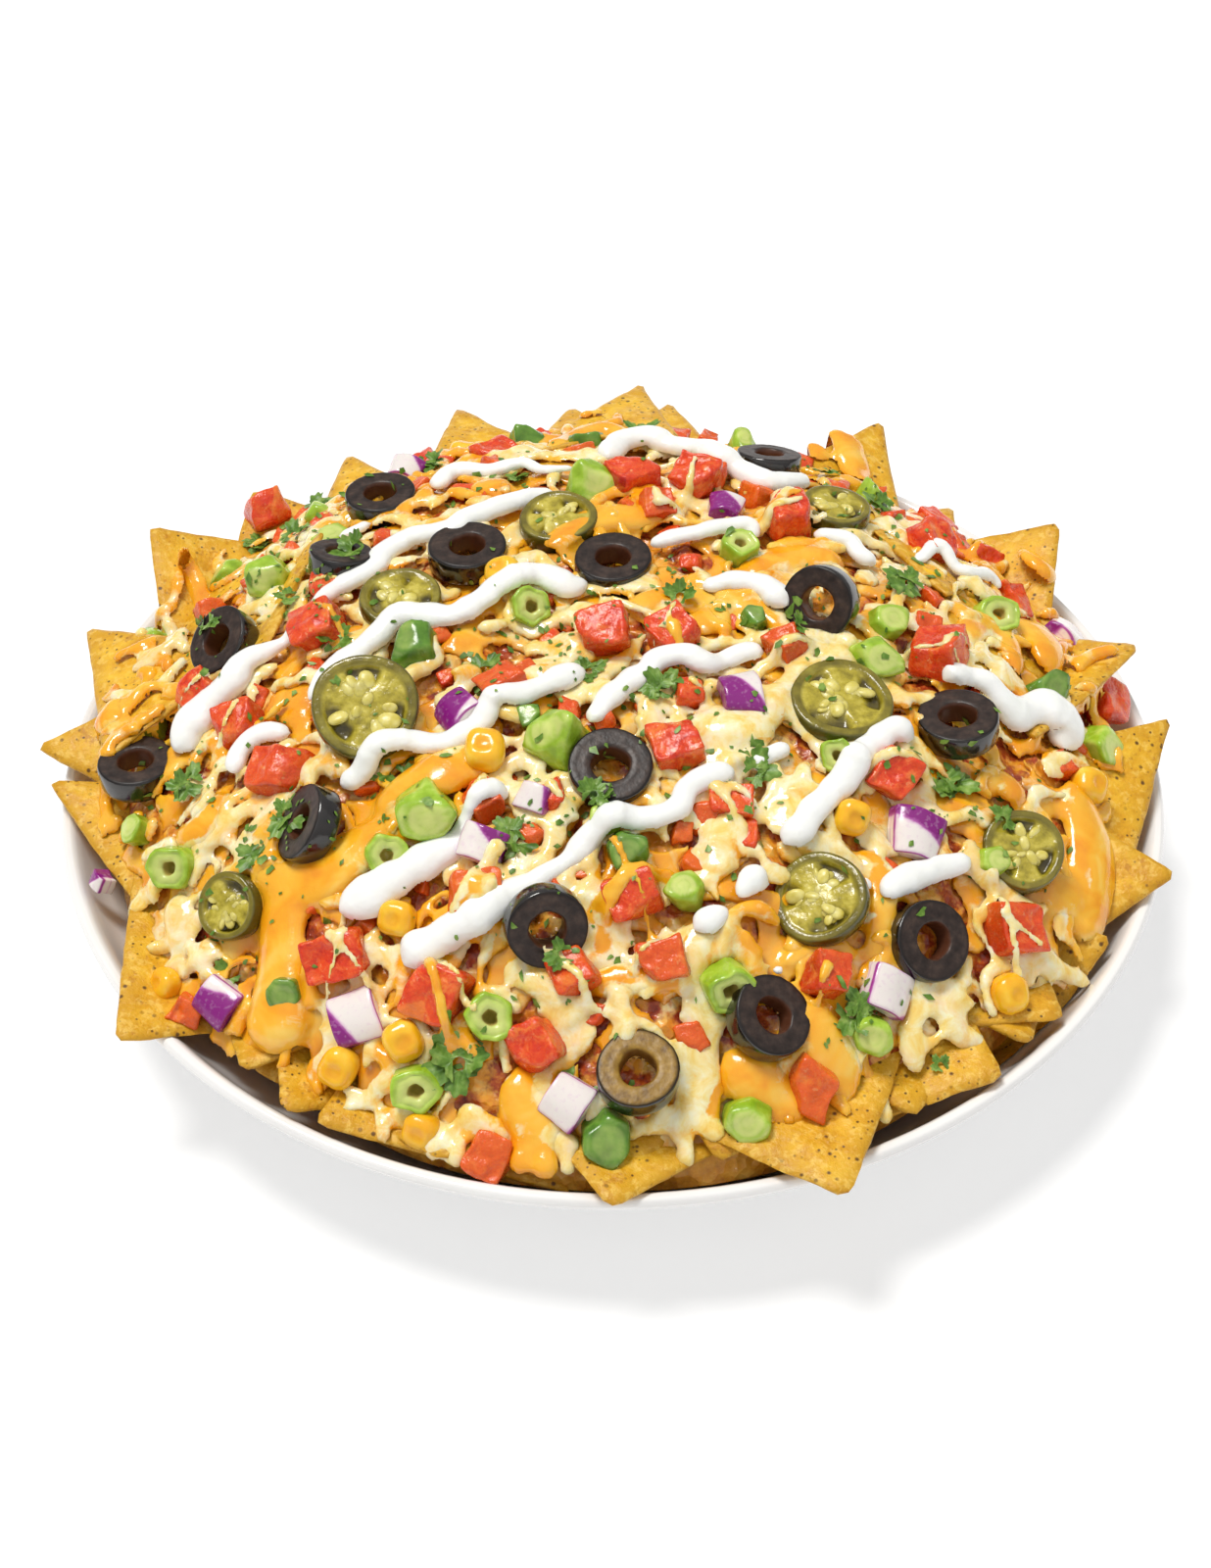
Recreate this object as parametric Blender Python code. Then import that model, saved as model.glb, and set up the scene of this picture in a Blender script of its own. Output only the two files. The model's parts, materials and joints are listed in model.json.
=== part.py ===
# Loaded nachos heaped on a shallow round plate, with melted cheese, cream and chopped toppings.
# Metres, +Z up. The origin is on the table under the middle of the plate, +Y is the far side.

import math
import random

import bmesh
import bpy
from mathutils import Matrix, Vector

# Plate sizes
RIM_RADIUS = 0.132
RIM_HEIGHT = 0.032
FOOT_RADIUS = 0.062
FLOOR_RADIUS = 0.085
FLOOR_TOP = 0.0048
FLOOR_DIP = 0.0004
PLATE_SIDES = 54

# The plate's section as (radius, height): its underside outwards, then its food side inwards
UNDERSIDE = [
    (FOOT_RADIUS, 0),
    (FOOT_RADIUS + 0.0015, 0.0022),
    (0.0880, 0.0030),
    (0.1060, 0.0072),
    (0.1195, 0.0166),
    (0.1288, 0.0282),
]
FOOD_SIDE = [
    (0.1284, 0.0309),
    (0.1225, 0.0224),
    (0.1120, 0.0134),
    (0.1000, 0.0078),
    (FLOOR_RADIUS, FLOOR_TOP),
]

# Heap sizes
HEAP_RADIUS = 0.1245
HEAP_SHIFT = 0.003
HEAP_RISE = 0.048
HEAP_POWER = 2.9
LUMP_RISE = 0.0012
CORE_SIDES = 36
CORE_TOP_RADII = (0.018, 0.036, 0.054, 0.071, 0.086, 0.099, 0.109, 0.1165)
CORE_LOW_RADII = (0.1200, 0.1110, 0.0950)
EDGE_REACH = 0.965
GAP = 0.0003

# Chip sizes
CHIP_SIDE = 0.058
CHIP_THICKNESS = 0.0021
CHIP_CORNER = 0.0022
CHIP_ANGLES = (math.radians(50), math.radians(88))
CHIP_ROUNDING = 0.42
CHIP_MIDDLE = 0.55
CHIP_TROUGH = 0.455
CHIP_BEND = 0.0022
CHIP_BEND_RANGE = (0.4, 1.2)
CHIP_DROP = 0.007
CHIP_CLIMB = 0.006

# Topping sizes
OLIVE_THICKNESS = 0.0062
OLIVE_HOLE = 0.44
OLIVE_SIDES = 14
SLICE_THICKNESS = 0.0048
SLICE_RIM = 0.79
SLICE_RECESS = 0.0011
SLICE_SHOULDER = 0.95
PEPPER_SIDES = 16
CUTTER_SIDES = 10
SLICE_SINK = 0.22
DIE_HEIGHT = 0.82
DIE_BEVEL = 0.07
DIE_SINK = 0.26
DIE_LEAN = 0.35
ONION_THICKNESS = 0.0042
ONION_BOW = 0.16
ONION_LIFT = 0.0026
ONION_LEAN = 0.4
SCALLION_SIDES = 8
SCALLION_HALF_HEIGHT = 0.62
SCALLION_BORE = 0.36
KERNEL_HEIGHT = 0.72
KERNEL_BEVEL = 0.2
LEAF_LOBES = 5
LEAF_NOTCH = 0.55
LEAF_THICKNESS = 0.0009
LEAF_WAVE = 0.0009
LEAF_DOME = 0.0012
LEAF_LIFT = 0.0006
CREAM_HEIGHT = 0.62
SAUCE_HEIGHT = 0.0034
RUN_SECTION = [(-1.0, -0.9), (-0.86, 0.42), (0.0, 1.0), (0.86, 0.42), (1.0, -0.9)]
RUN_END = 0.3
SLOPE_STEP = 0.002

# Finishes: base colour and roughness of each kind of piece
FINISHES = {
    "plate": ((0.86, 0.85, 0.83), 0.12),
    "heap": ((0.93, 0.55, 0.14), 0.35),
    "olive": ((0.022, 0.017, 0.016), 0.25),
    "pepper": ((0.16, 0.17, 0.02), 0.28),
    "tomato": ((0.65, 0.06, 0.02), 0.22),
    "onion": ((0.42, 0.10, 0.38), 0.3),
}
SMOOTH_ANGLE = math.radians(35)

# The view that the places below are read in: a camera on the near side, looking down on the plate
VIEW_ELEVATION = math.radians(43.6)
VIEW_DISTANCE = 0.75
VIEW_FOCAL = 3190.0
VIEW_MIDDLE = (618.0, 800.0)
VIEW_TARGET = Vector((-0.0017, -0.0041, RIM_HEIGHT))
RAY_START = 0.55
RAY_END = 0.95
RAY_STEP = 0.001
HALVINGS = 20

# Each chip: view place of its free corner, height of that corner over the rim in mm,
# and the view places where its two edges go under the cheese
CHIPS = [
    (152, 537, 20, 243, 552, 165, 625),
    (88, 643, 10, 140, 648, 108, 735),
    (36, 763, 6, 107, 727, 105, 800),
    (50, 799, 4, 112, 797, 133, 912),
    (118, 1062, 4, 136, 905, 205, 1052),
    (287, 1136, 2.4, 285, 1085, 335, 1130),
    (319, 1145, 2.4, 345, 1112, 440, 1178),
    (622, 1233, 2.8, 573, 1168, 715, 1180),
    (866, 1221, 3.6, 720, 1158, 915, 1090),
    (1025, 1100, 2.6, 905, 1137, 1000, 1055),
    (1087, 1040, 2.4, 985, 1055, 1078, 1000),
    (1203, 891, 5, 1105, 835, 1128, 942),
    (1136, 955, 2.4, 1105, 950, 1112, 990),
    (1195, 733, 10, 1140, 765, 1130, 835),
    (1163, 660, 14, 1085, 645, 1140, 695),
    (1081, 532, 20, 985, 553, 1072, 622),
    (973, 519, 8, 890, 530, 975, 552),
    (900, 429, 20, 815, 478, 912, 515),
    (683, 414, 14, 655, 440, 715, 455),
    (654, 392, 20, 600, 428, 668, 425),
    (583, 417, 12, 560, 445, 607, 432),
    (467, 417, 14, 447, 462, 538, 455),
    (355, 464, 14, 333, 518, 398, 490),
    (258, 499, 14, 242, 560, 325, 520),
]

# Each olive ring: view place, diameter in mm, how squarely it faces the view (1 is square on),
# and the way its face leans in the view in degrees, 90 being up
OLIVES = [
    (389, 511, 17.4, 0.63, 95),
    (477, 565, 18.4, 0.66, 92),
    (348, 573, 15.5, 0.45, 85),
    (626, 577, 18.6, 0.66, 92),
    (784, 473, 16.6, 0.34, 84),
    (838, 614, 17.4, 0.9, 200),
    (229, 657, 17.6, 0.72, 150),
    (140, 785, 18.2, 0.64, 95),
    (316, 842, 18.0, 0.5, 158),
    (623, 786, 18.8, 0.88, 90),
    (978, 739, 18.8, 0.66, 95),
    (557, 944, 18.0, 0.92, 300),
    (946, 961, 18.6, 0.86, 18),
    (784, 1039, 18.2, 0.84, 40),
    (651, 1095, 18.0, 0.88, 92),
]

# Each pepper slice: view place, diameter in mm, facing, lean in degrees
PEPPERS = [
    (373, 722, 24.8, 0.97, 90),
    (409, 615, 19.6, 0.76, 92),
    (570, 533, 19.2, 0.7, 95),
    (852, 522, 17.4, 0.6, 80),
    (858, 718, 24.2, 0.76, 80),
    (838, 918, 21.4, 0.9, 130),
    (1043, 869, 19.4, 0.94, 60),
    (236, 925, 15.8, 0.88, 170),
]

# Each tomato die that is a piece of its own: view place and side in mm
TOMATOES = [
    (273, 520, 11.2),
    (325, 641, 11.6),
    (206, 710, 9.6),
    (283, 787, 11.0),
    (642, 488, 10.0),
    (708, 490, 10.4),
    (805, 528, 11.4),
    (618, 643, 11.2),
    (686, 647, 10.8),
    (803, 656, 9.6),
    (947, 553, 11.0),
    (960, 668, 12.4),
    (1126, 718, 11.6),
    (911, 790, 10.4),
    (1034, 947, 11.4),
    (826, 1110, 11.0),
    (678, 981, 10.2),
    (645, 913, 11.8),
    (446, 1011, 12.0),
    (545, 1066, 10.6),
    (344, 975, 11.6),
    (488, 912, 11.2),
    (691, 760, 10.4),
    (843, 994, 9.6),
]

# Each red onion piece of its own: view place and width in mm
ONIONS = [
    (223, 1022, 10.4),
    (364, 1038, 12.0),
    (579, 1124, 11.4),
    (756, 708, 12.4),
    (468, 727, 10.2),
    (492, 862, 10.6),
    (935, 852, 13.0),
    (907, 1012, 11.6),
    (1086, 650, 12.0),
]

# Smaller pieces that lie fused on the heap: view place, width in mm, and 1 where a hole shows
SCALLIONS = [
    (157, 659, 10, 0),
    (277, 592, 12, 0),
    (150, 740, 11, 0),
    (179, 885, 12, 1),
    (604, 496, 13, 0),
    (541, 621, 10, 1),
    (424, 663, 11, 0),
    (568, 755, 13, 0),
    (436, 832, 14, 0),
    (394, 873, 10, 1),
    (640, 869, 10, 0),
    (700, 910, 9, 0),
    (753, 561, 10, 1),
    (903, 637, 10, 0),
    (890, 674, 11, 0),
    (1013, 630, 11, 1),
    (1065, 713, 11, 0),
    (1122, 762, 11, 0),
    (855, 773, 9, 1),
    (740, 1004, 12, 1),
    (886, 1054, 10, 0),
    (762, 1143, 11, 0),
    (620, 1158, 12, 0),
    (426, 1109, 12, 1),
    (500, 1038, 12, 1),
    (757, 458, 8, 0),
]
KERNELS = [
    (347, 1089, 11),
    (412, 1062, 11),
    (1029, 1014, 11),
    (869, 834, 10),
    (1110, 802, 11),
    (495, 767, 12),
    (406, 937, 10),
    (170, 1004, 9),
    (153, 698, 10),
    (514, 586, 10),
    (497, 1177, 10),
]
LEAVES = [
    (263, 557, 9),
    (439, 473, 9),
    (495, 685, 10),
    (600, 687, 8),
    (678, 703, 10),
    (694, 610, 7),
    (768, 786, 10),
    (404, 789, 10),
    (530, 859, 11),
    (196, 801, 9),
    (469, 1084, 13),
    (870, 1033, 11),
    (969, 797, 12),
    (927, 599, 11),
    (894, 515, 8),
]

# Pieces on the far slope, which the view doesn't reach: how many of each, and the band they lie in
FAR_SCALLIONS = 6
FAR_KERNELS = 4
FAR_DICE = 6
FAR_LEAVES = 4
FAR_RADII = (0.094, 0.115)
FAR_AZIMUTHS = (28, 152)
FAR_SPACING = 0.015
FAR_LIFT = 0.0017
FAR_SCALLION = 0.010
FAR_KERNEL = 0.009
FAR_DIE = 0.0095
FAR_LEAF = 0.010

# Each cream ribbon: first and last width in mm, then view places along its middle
RIBBONS = [
    (5, 3, (447, 498), (470, 484), (504, 482), (555, 480), (586, 479)),
    (6, 6, (619, 472), (631, 456), (682, 458), (740, 472), (785, 496), (823, 496)),
    (5, 6, (565, 507), (530, 513), (480, 530), (460, 545), (403, 560), (368, 592), (333, 613)),
    (3, 4, (309, 634), (295, 652), (281, 662)),
    (8, 9, (258, 678), (238, 704), (208, 731), (193, 753), (196, 772)),
    (5, 5, (238, 795), (246, 769), (270, 752), (295, 750)),
    (6, 7, (318, 717), (326, 700), (345, 684)),
    (6, 6, (388, 652), (412, 637), (460, 631), (492, 615), (530, 592), (578, 602), (600, 599)),
    (6, 6, (350, 806), (391, 773), (455, 760), (503, 722), (554, 703), (599, 689)),
    (6, 6, (605, 738), (637, 706), (669, 681), (720, 681), (761, 668), (780, 668)),
    (10, 8, (334, 938), (382, 907), (446, 872), (465, 859)),
    (4, 5, (480, 838), (492, 822), (520, 811)),
    (9, 6, (404, 993), (452, 957), (503, 939), (548, 901), (611, 853)),
    (6, 6, (611, 853), (669, 837), (701, 808), (749, 792)),
    (4, 4, (770, 788), (806, 763)),
    (7, 7, (800, 863), (834, 826), (857, 805), (898, 758), (928, 756)),
    (6, 6, (755, 917), (785, 903)),
    (5, 6, (704, 958), (740, 930)),
    (6, 6, (895, 921), (924, 901), (953, 891), (988, 882)),
    (6, 9, (963, 700), (1007, 703), (1036, 732), (1062, 737), (1089, 765)),
    (5, 7, (718, 605), (772, 599), (794, 615), (815, 632)),
    (5, 5, (664, 558), (715, 545), (765, 541)),
    (5, 5, (830, 548), (865, 555), (890, 577)),
    (4, 4, (936, 578), (972, 580), (1022, 603)),
]

# Each run of cheese sauce: view places along its middle with the width there in mm
SAUCE_RUNS = [
    ((372, 868, 8), (330, 893, 16), (292, 930, 13), (285, 985, 13), (283, 1040, 15), (281, 1078, 15)),
    ((1104, 830, 8), (1112, 868, 13), (1112, 915, 14), (1108, 968, 8)),
    ((822, 1050, 8), (848, 1085, 10), (869, 1128, 9)),
    ((740, 1078, 9), (778, 1112, 12), (818, 1156, 9)),
    ((188, 905, 8), (186, 968, 7)),
    ((540, 1120, 12), (540, 1180, 8)),
]


def heap_height(x, y):
    """The heap's smooth top: a dome that leans to the far side of the plate."""
    reach = math.hypot(x, y - HEAP_SHIFT) / HEAP_RADIUS
    dome = HEAP_RISE * (1.0 - reach**HEAP_POWER)
    lumps = math.sin(150 * x + 1.0) * math.cos(130 * y + 0.5) + 0.7 * math.sin(210 * x - 170 * y + 2.0)
    return RIM_HEIGHT + dome + LUMP_RISE * lumps


def heap_normal(x, y):
    rise_x = heap_height(x + SLOPE_STEP, y) - heap_height(x - SLOPE_STEP, y)
    rise_y = heap_height(x, y + SLOPE_STEP) - heap_height(x, y - SLOPE_STEP)
    return Vector((-rise_x, -rise_y, 2 * SLOPE_STEP)).normalized()


def view_axes():
    right = Vector((1, 0, 0))
    up = Vector((0, math.sin(VIEW_ELEVATION), math.cos(VIEW_ELEVATION)))
    back = Vector((0, -math.cos(VIEW_ELEVATION), math.sin(VIEW_ELEVATION)))
    return right, up, back


RIGHT, UP, BACK = view_axes()
EYE = VIEW_TARGET + BACK * VIEW_DISTANCE


def view_ray(across, down):
    ray = RIGHT * (across - VIEW_MIDDLE[0]) + UP * (VIEW_MIDDLE[1] - down) - BACK * VIEW_FOCAL
    return ray.normalized()


def at_height(across, down, height):
    ray = view_ray(across, down)
    return EYE + ray * ((height - EYE.z) / ray.z)


def on_heap(across, down, lift=0.0):
    """The point at this view place that lies lift above the heap's smooth top, or passes nearest to it."""
    ray = view_ray(across, down)
    nearest = None
    closest = math.inf
    distance = RAY_START
    while distance < RAY_END:
        point = EYE + ray * distance
        clear = point.z - lift - heap_height(point.x, point.y)
        inside = math.hypot(point.x, point.y - HEAP_SHIFT) < HEAP_RADIUS * EDGE_REACH
        if clear < 0 and (inside or nearest is None):
            break
        if clear < closest and inside:
            closest = clear
            nearest = point
        distance += RAY_STEP
    else:
        return nearest
    low = distance - RAY_STEP
    high = distance
    for _ in range(HALVINGS):
        middle = 0.5 * (low + high)
        point = EYE + ray * middle
        if point.z - lift < heap_height(point.x, point.y):
            high = middle
        else:
            low = middle
    return EYE + ray * high


def leaning(facing, lean):
    """A unit vector that faces the view by this much and leans that way in it."""
    side = math.sqrt(1 - facing * facing)
    angle = math.radians(lean)
    return RIGHT * (side * math.cos(angle)) + UP * (side * math.sin(angle)) + BACK * facing


def placed(centre, normal, spin=0.0):
    """The matrix that puts a piece modelled flat round the origin at centre, facing normal."""
    turn = normal.to_track_quat("Z", "Y").to_matrix().to_4x4()
    return Matrix.Translation(centre) @ turn @ Matrix.Rotation(spin, 4, "Z")


def clear_scene():
    for found in list(bpy.data.objects):
        bpy.data.objects.remove(found)


def finish(kind):
    """The material of one kind of piece, made once."""
    found = bpy.data.materials.get(kind)
    if found:
        return found
    colour, roughness = FINISHES[kind]
    made = bpy.data.materials.new(kind)
    made.use_nodes = True
    shader = made.node_tree.nodes["Principled BSDF"]
    shader.inputs["Base Color"].default_value = (*colour, 1.0)
    shader.inputs["Roughness"].default_value = roughness
    return made


def dress(made):
    """Gives a piece the material of its kind and shades its round stretches smooth."""
    made.data.materials.clear()
    made.data.materials.append(finish(made.name.split("_")[0]))
    made.data.shade_smooth()
    made.data.set_sharp_from_angle(angle=SMOOTH_ANGLE)


def solid(name, points, faces, matrix=None, folder=None):
    mesh = bpy.data.meshes.new(name)
    mesh.from_pydata([tuple(p) for p in points], [], faces)
    shape = bmesh.new()
    shape.from_mesh(mesh)
    bmesh.ops.recalc_face_normals(shape, faces=shape.faces)
    bmesh.ops.triangulate(shape, faces=shape.faces)
    shape.to_mesh(mesh)
    shape.free()
    made = bpy.data.objects.new(name, mesh)
    if matrix is not None:
        made.matrix_world = matrix
    (folder or bpy.context.scene.collection).objects.link(made)
    return made


def turned(profile, sides):
    """Points and faces of a closed profile of (radius, height) turned round Z. A radius of 0 is one point."""
    points = []
    rings = []
    for radius, height in profile:
        if radius == 0:
            rings.append([len(points)] * sides)
            points.append((0, 0, height))
            continue
        rings.append(list(range(len(points), len(points) + sides)))
        for i in range(sides):
            angle = 2 * math.pi * i / sides
            points.append((radius * math.cos(angle), radius * math.sin(angle), height))
    faces = []
    open_axis = profile[0][0] == 0 and profile[-1][0] == 0
    last = len(rings) - 1 if open_axis else len(rings)
    for k in range(last):
        first = rings[k]
        second = rings[(k + 1) % len(rings)]
        for i in range(sides):
            j = (i + 1) % sides
            face = [first[i], first[j], second[j], second[i]]
            faces.append(tuple(dict.fromkeys(face)))
    return points, faces


def plate_profile(grow=0.0):
    """The plate's section from the axis out along its underside and back over the food side."""
    lip = RIM_RADIUS + grow
    under = [(0, -grow)] + [(radius, height - grow) for radius, height in UNDERSIDE]
    rolled_lip = [
        (lip - 0.0006, 0.0290 - grow),
        (lip, 0.0305),
        (lip - 0.0008, RIM_HEIGHT + grow),
        (lip - 0.0024, RIM_HEIGHT + grow),
    ]
    over = [(radius - grow, height + grow) for radius, height in FOOD_SIDE]
    return under + rolled_lip + over + [(0, FLOOR_TOP - FLOOR_DIP + grow)]


def plate():
    points, faces = turned(plate_profile(), PLATE_SIDES)
    dress(solid("plate", points, faces))


def inner_wall(radius):
    """Height of the plate's food side at this radius."""
    steps = [(0, FLOOR_TOP)] + FOOD_SIDE[::-1]
    for (r0, z0), (r1, z1) in zip(steps, steps[1:]):
        if radius <= r1:
            return z0 + (z1 - z0) * (radius - r0) / (r1 - r0)
    return steps[-1][1]


def over_plate(x, y):
    """Height of the core's underside, a little clear of the plate."""
    return inner_wall(math.hypot(x, y) + 2 * GAP) + 3 * GAP


def core():
    """The heap's body: a domed top over an underside that follows the plate."""
    points = [(0, 0, heap_height(0, 0))]
    rings = []
    for radii, height in ((CORE_TOP_RADII, heap_height), (CORE_LOW_RADII, over_plate)):
        for radius in radii:
            rings.append(list(range(len(points), len(points) + CORE_SIDES)))
            for i in range(CORE_SIDES):
                angle = 2 * math.pi * i / CORE_SIDES
                x = radius * math.cos(angle)
                y = radius * math.sin(angle) + HEAP_SHIFT * radius / HEAP_RADIUS
                points.append((x, y, height(x, y)))
    bottom = len(points)
    points.append((0, 0, over_plate(0, 0)))
    faces = []
    for i in range(CORE_SIDES):
        j = (i + 1) % CORE_SIDES
        faces.append((0, rings[0][i], rings[0][j]))
        for first, second in zip(rings, rings[1:]):
            faces.append((first[i], second[i], second[j], first[j]))
        faces.append((rings[-1][i], bottom, rings[-1][j]))
    return solid("heap", points, faces)


def chip_outline(angle):
    """Corners of a rounded triangle with this angle at the origin, its middle line along +X."""
    reach = CHIP_SIDE * math.cos(0.5 * angle)
    spread = CHIP_SIDE * math.sin(0.5 * angle)
    corners = [Vector((0, 0)), Vector((reach, -spread)), Vector((reach, spread))]
    outline = []
    for k in range(3):
        before = (corners[k - 1] - corners[k]).normalized()
        after = (corners[(k + 1) % 3] - corners[k]).normalized()
        outline.append(corners[k] + before * CHIP_CORNER)
        outline.append(corners[k] + (before + after) * CHIP_CORNER * CHIP_ROUNDING)
        outline.append(corners[k] + after * CHIP_CORNER)
        outline.append(0.5 * (corners[k] + corners[(k + 1) % 3]))
    return outline


def chip(tip, first, second, bend, folder):
    """A thin bent triangle of fried corn dough with its free corner at tip, its edges through first and second."""
    edge_a = (first - tip).normalized()
    edge_b = (second - tip).normalized()
    along = (edge_a + edge_b).normalized()
    normal = edge_a.cross(edge_b).normalized()
    if normal.z < 0:
        normal = -normal
    across = normal.cross(along)
    angle = min(max(edge_a.angle(edge_b), CHIP_ANGLES[0]), CHIP_ANGLES[1])
    outline = chip_outline(angle)
    inner = Vector((CHIP_SIDE * CHIP_MIDDLE, 0))
    points = []
    for side in (0.5, -0.5):
        for spot in outline + [inner]:
            from_trough = 1 - spot.x / (CHIP_SIDE * CHIP_TROUGH)
            lift = 0.5 * bend * (from_trough**2 - 1) + side * CHIP_THICKNESS
            points.append(tip + along * spot.x + across * spot.y + normal * lift)
    count = len(outline)
    faces = []
    for i in range(count):
        j = (i + 1) % count
        faces.append((i, j, count))
        faces.append((count + 1 + i, 2 * count + 1, count + 1 + j))
        faces.append((i, count + 1 + i, count + 1 + j, j))
    return solid("chip", points, faces, folder=folder)


def olive_shape(radius):
    """A ring with a slightly barrelled wall."""
    half = OLIVE_THICKNESS / 2
    hole = radius * OLIVE_HOLE
    shoulder = radius * SLICE_SHOULDER
    return turned([(hole, -half), (shoulder, -half), (radius, 0), (shoulder, half), (hole, half)], OLIVE_SIDES)


def disc_cutter(radius, thickness):
    """A plain disc that clears a round slice by the gap all round."""
    half = thickness / 2 + GAP
    outer = (radius + GAP) / math.cos(math.pi / CUTTER_SIDES)
    return turned([(0, -half), (outer, -half), (outer, half), (0, half)], CUTTER_SIDES)


def pepper_shape(radius):
    half = SLICE_THICKNESS / 2
    inner = radius * SLICE_RIM
    top = half - SLICE_RECESS
    profile = [
        (0, -half),
        (radius * SLICE_SHOULDER, -half),
        (radius, 0),
        (radius * SLICE_SHOULDER, half),
        (inner, half),
        (inner * SLICE_SHOULDER, top),
        (0, top),
    ]
    return turned(profile, PEPPER_SIDES)


def box_points(width, depth, height, jitter, draw):
    points = []
    for z in (-0.5, 0.5):
        for y in (-0.5, 0.5):
            for x in (-0.5, 0.5):
                shift = [draw.uniform(-jitter, jitter) for _ in range(3)]
                points.append(Vector((x * width + shift[0], y * depth + shift[1], z * height + shift[2])))
    faces = [(0, 2, 3, 1), (4, 5, 7, 6), (0, 1, 5, 4), (2, 6, 7, 3), (0, 4, 6, 2), (1, 3, 7, 5)]
    return points, faces


def rounded(made, width):
    """Takes a small flat off every edge of a piece."""
    shape = bmesh.new()
    shape.from_mesh(made.data)
    bmesh.ops.dissolve_limit(shape, angle_limit=0.01, verts=shape.verts, edges=shape.edges)
    bmesh.ops.bevel(shape, geom=shape.edges[:], offset=width, segments=1, affect="EDGES")
    bmesh.ops.triangulate(shape, faces=shape.faces)
    shape.to_mesh(made.data)
    shape.free()


def onion_points(width, grow, draw):
    """A piece cut from a curved onion layer."""
    half = ONION_THICKNESS / 2 + grow
    reach = width / 2 + grow
    depth = reach * draw.uniform(0.72, 0.9)
    bow = width * ONION_BOW
    taper = draw.uniform(0.7, 0.95)
    points = []
    for side in (-1, 1):
        for end, narrow in ((-1, 1.0), (1, taper)):
            for step in (-1, 0, 1):
                rise = bow * (1 - step * step) + side * half
                points.append(Vector((step * reach * narrow, end * depth, rise - bow / 2)))
    faces = [(0, 1, 4, 3), (1, 2, 5, 4), (6, 9, 10, 7), (7, 10, 11, 8)]
    faces += [(0, 6, 7, 1), (1, 7, 8, 2), (3, 4, 10, 9), (4, 5, 11, 10), (0, 3, 9, 6), (2, 8, 11, 5)]
    return points, faces


def toppings(cutters):
    """Makes the pieces that are solids of their own, each with a slightly larger cutter that clears the heap
    round it. Returns where they lie."""
    for number, (across, down, size, facing, lean) in enumerate(OLIVES, 1):
        radius = size / 2000
        matrix = disc_place(across, down, radius, OLIVE_THICKNESS, facing, lean)
        points, faces = olive_shape(radius)
        dress(solid(f"olive_{number:02d}", points, faces, matrix))
        points, faces = disc_cutter(radius, OLIVE_THICKNESS)
        solid("cutter", points, faces, matrix, cutters)
    for number, (across, down, size, facing, lean) in enumerate(PEPPERS, 1):
        radius = size / 2000
        matrix = disc_place(across, down, radius, SLICE_THICKNESS, facing, lean)
        points, faces = pepper_shape(radius)
        dress(solid(f"pepper_{number:02d}", points, faces, matrix))
        points, faces = disc_cutter(radius, SLICE_THICKNESS)
        solid("cutter", points, faces, matrix, cutters)
    draw = random.Random(5)
    for number, (across, down, size) in enumerate(TOMATOES, 1):
        side = size / 1000
        centre = on_heap(across, down, side * DIE_SINK)
        lean = Vector((draw.uniform(-DIE_LEAN, DIE_LEAN), draw.uniform(-DIE_LEAN, DIE_LEAN), 0))
        normal = (heap_normal(centre.x, centre.y) + lean).normalized()
        matrix = placed(centre, normal, draw.uniform(0, math.pi / 2))
        points, faces = box_points(side, side * draw.uniform(0.85, 1.0), side * DIE_HEIGHT, side * DIE_BEVEL, draw)
        die = solid(f"tomato_{number:02d}", points, faces, matrix)
        rounded(die, side * DIE_BEVEL)
        dress(die)
        stretch = 1 + 2.4 * GAP / side
        solid("cutter", [p * stretch for p in points], faces, matrix, cutters)
    for number, (across, down, size) in enumerate(ONIONS, 1):
        width = size / 1000
        centre = on_heap(across, down, ONION_LIFT)
        lean = Vector((draw.uniform(-ONION_LEAN, ONION_LEAN), draw.uniform(-ONION_LEAN, 0.0), 0))
        normal = (heap_normal(centre.x, centre.y) + lean).normalized()
        matrix = placed(centre, normal, draw.uniform(0, math.pi))
        same = draw.random()
        points, faces = onion_points(width, 0.0, random.Random(same))
        dress(solid(f"onion_{number:02d}", points, faces, matrix))
        points, faces = onion_points(width, 1.4 * GAP, random.Random(same))
        solid("cutter", points, faces, matrix, cutters)
    return [piece.matrix_world @ piece.data.vertices[0].co for piece in cutters.objects]


def disc_place(across, down, radius, thickness, facing, lean):
    """Where a round slice sits: it is propped up further where it leans away from the heap's slope."""
    normal = leaning(facing, lean)
    flat = on_heap(across, down)
    tilt = normal.angle(heap_normal(flat.x, flat.y))
    lift = SLICE_SINK * thickness + 0.5 * radius * math.sin(tilt)
    return placed(on_heap(across, down, lift), normal)


def ribbon(path, widths, height, folder):
    """A rounded run laid along points, flat underneath, with blunt ends."""
    points = []
    rings = []
    count = len(path)
    for k in range(count):
        ahead = path[min(k + 1, count - 1)] - path[max(k - 1, 0)]
        ahead.normalize()
        normal = heap_normal(path[k].x, path[k].y)
        side = ahead.cross(normal).normalized()
        half = widths[k] / 2
        rise = height(widths[k])
        rings.append(list(range(len(points), len(points) + len(RUN_SECTION))))
        shift = 0.0
        if k == 0:
            shift = -RUN_END * widths[k]
        if k == count - 1:
            shift = RUN_END * widths[k]
        for u, v in RUN_SECTION:
            points.append(path[k] + ahead * shift + side * (u * half) + normal * (v * rise))
    faces = [tuple(rings[0]), tuple(reversed(rings[-1]))]
    for first, second in zip(rings, rings[1:]):
        for i in range(len(first)):
            j = (i + 1) % len(first)
            faces.append((first[i], first[j], second[j], second[i]))
    return solid("run", points, faces, folder=folder)


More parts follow.
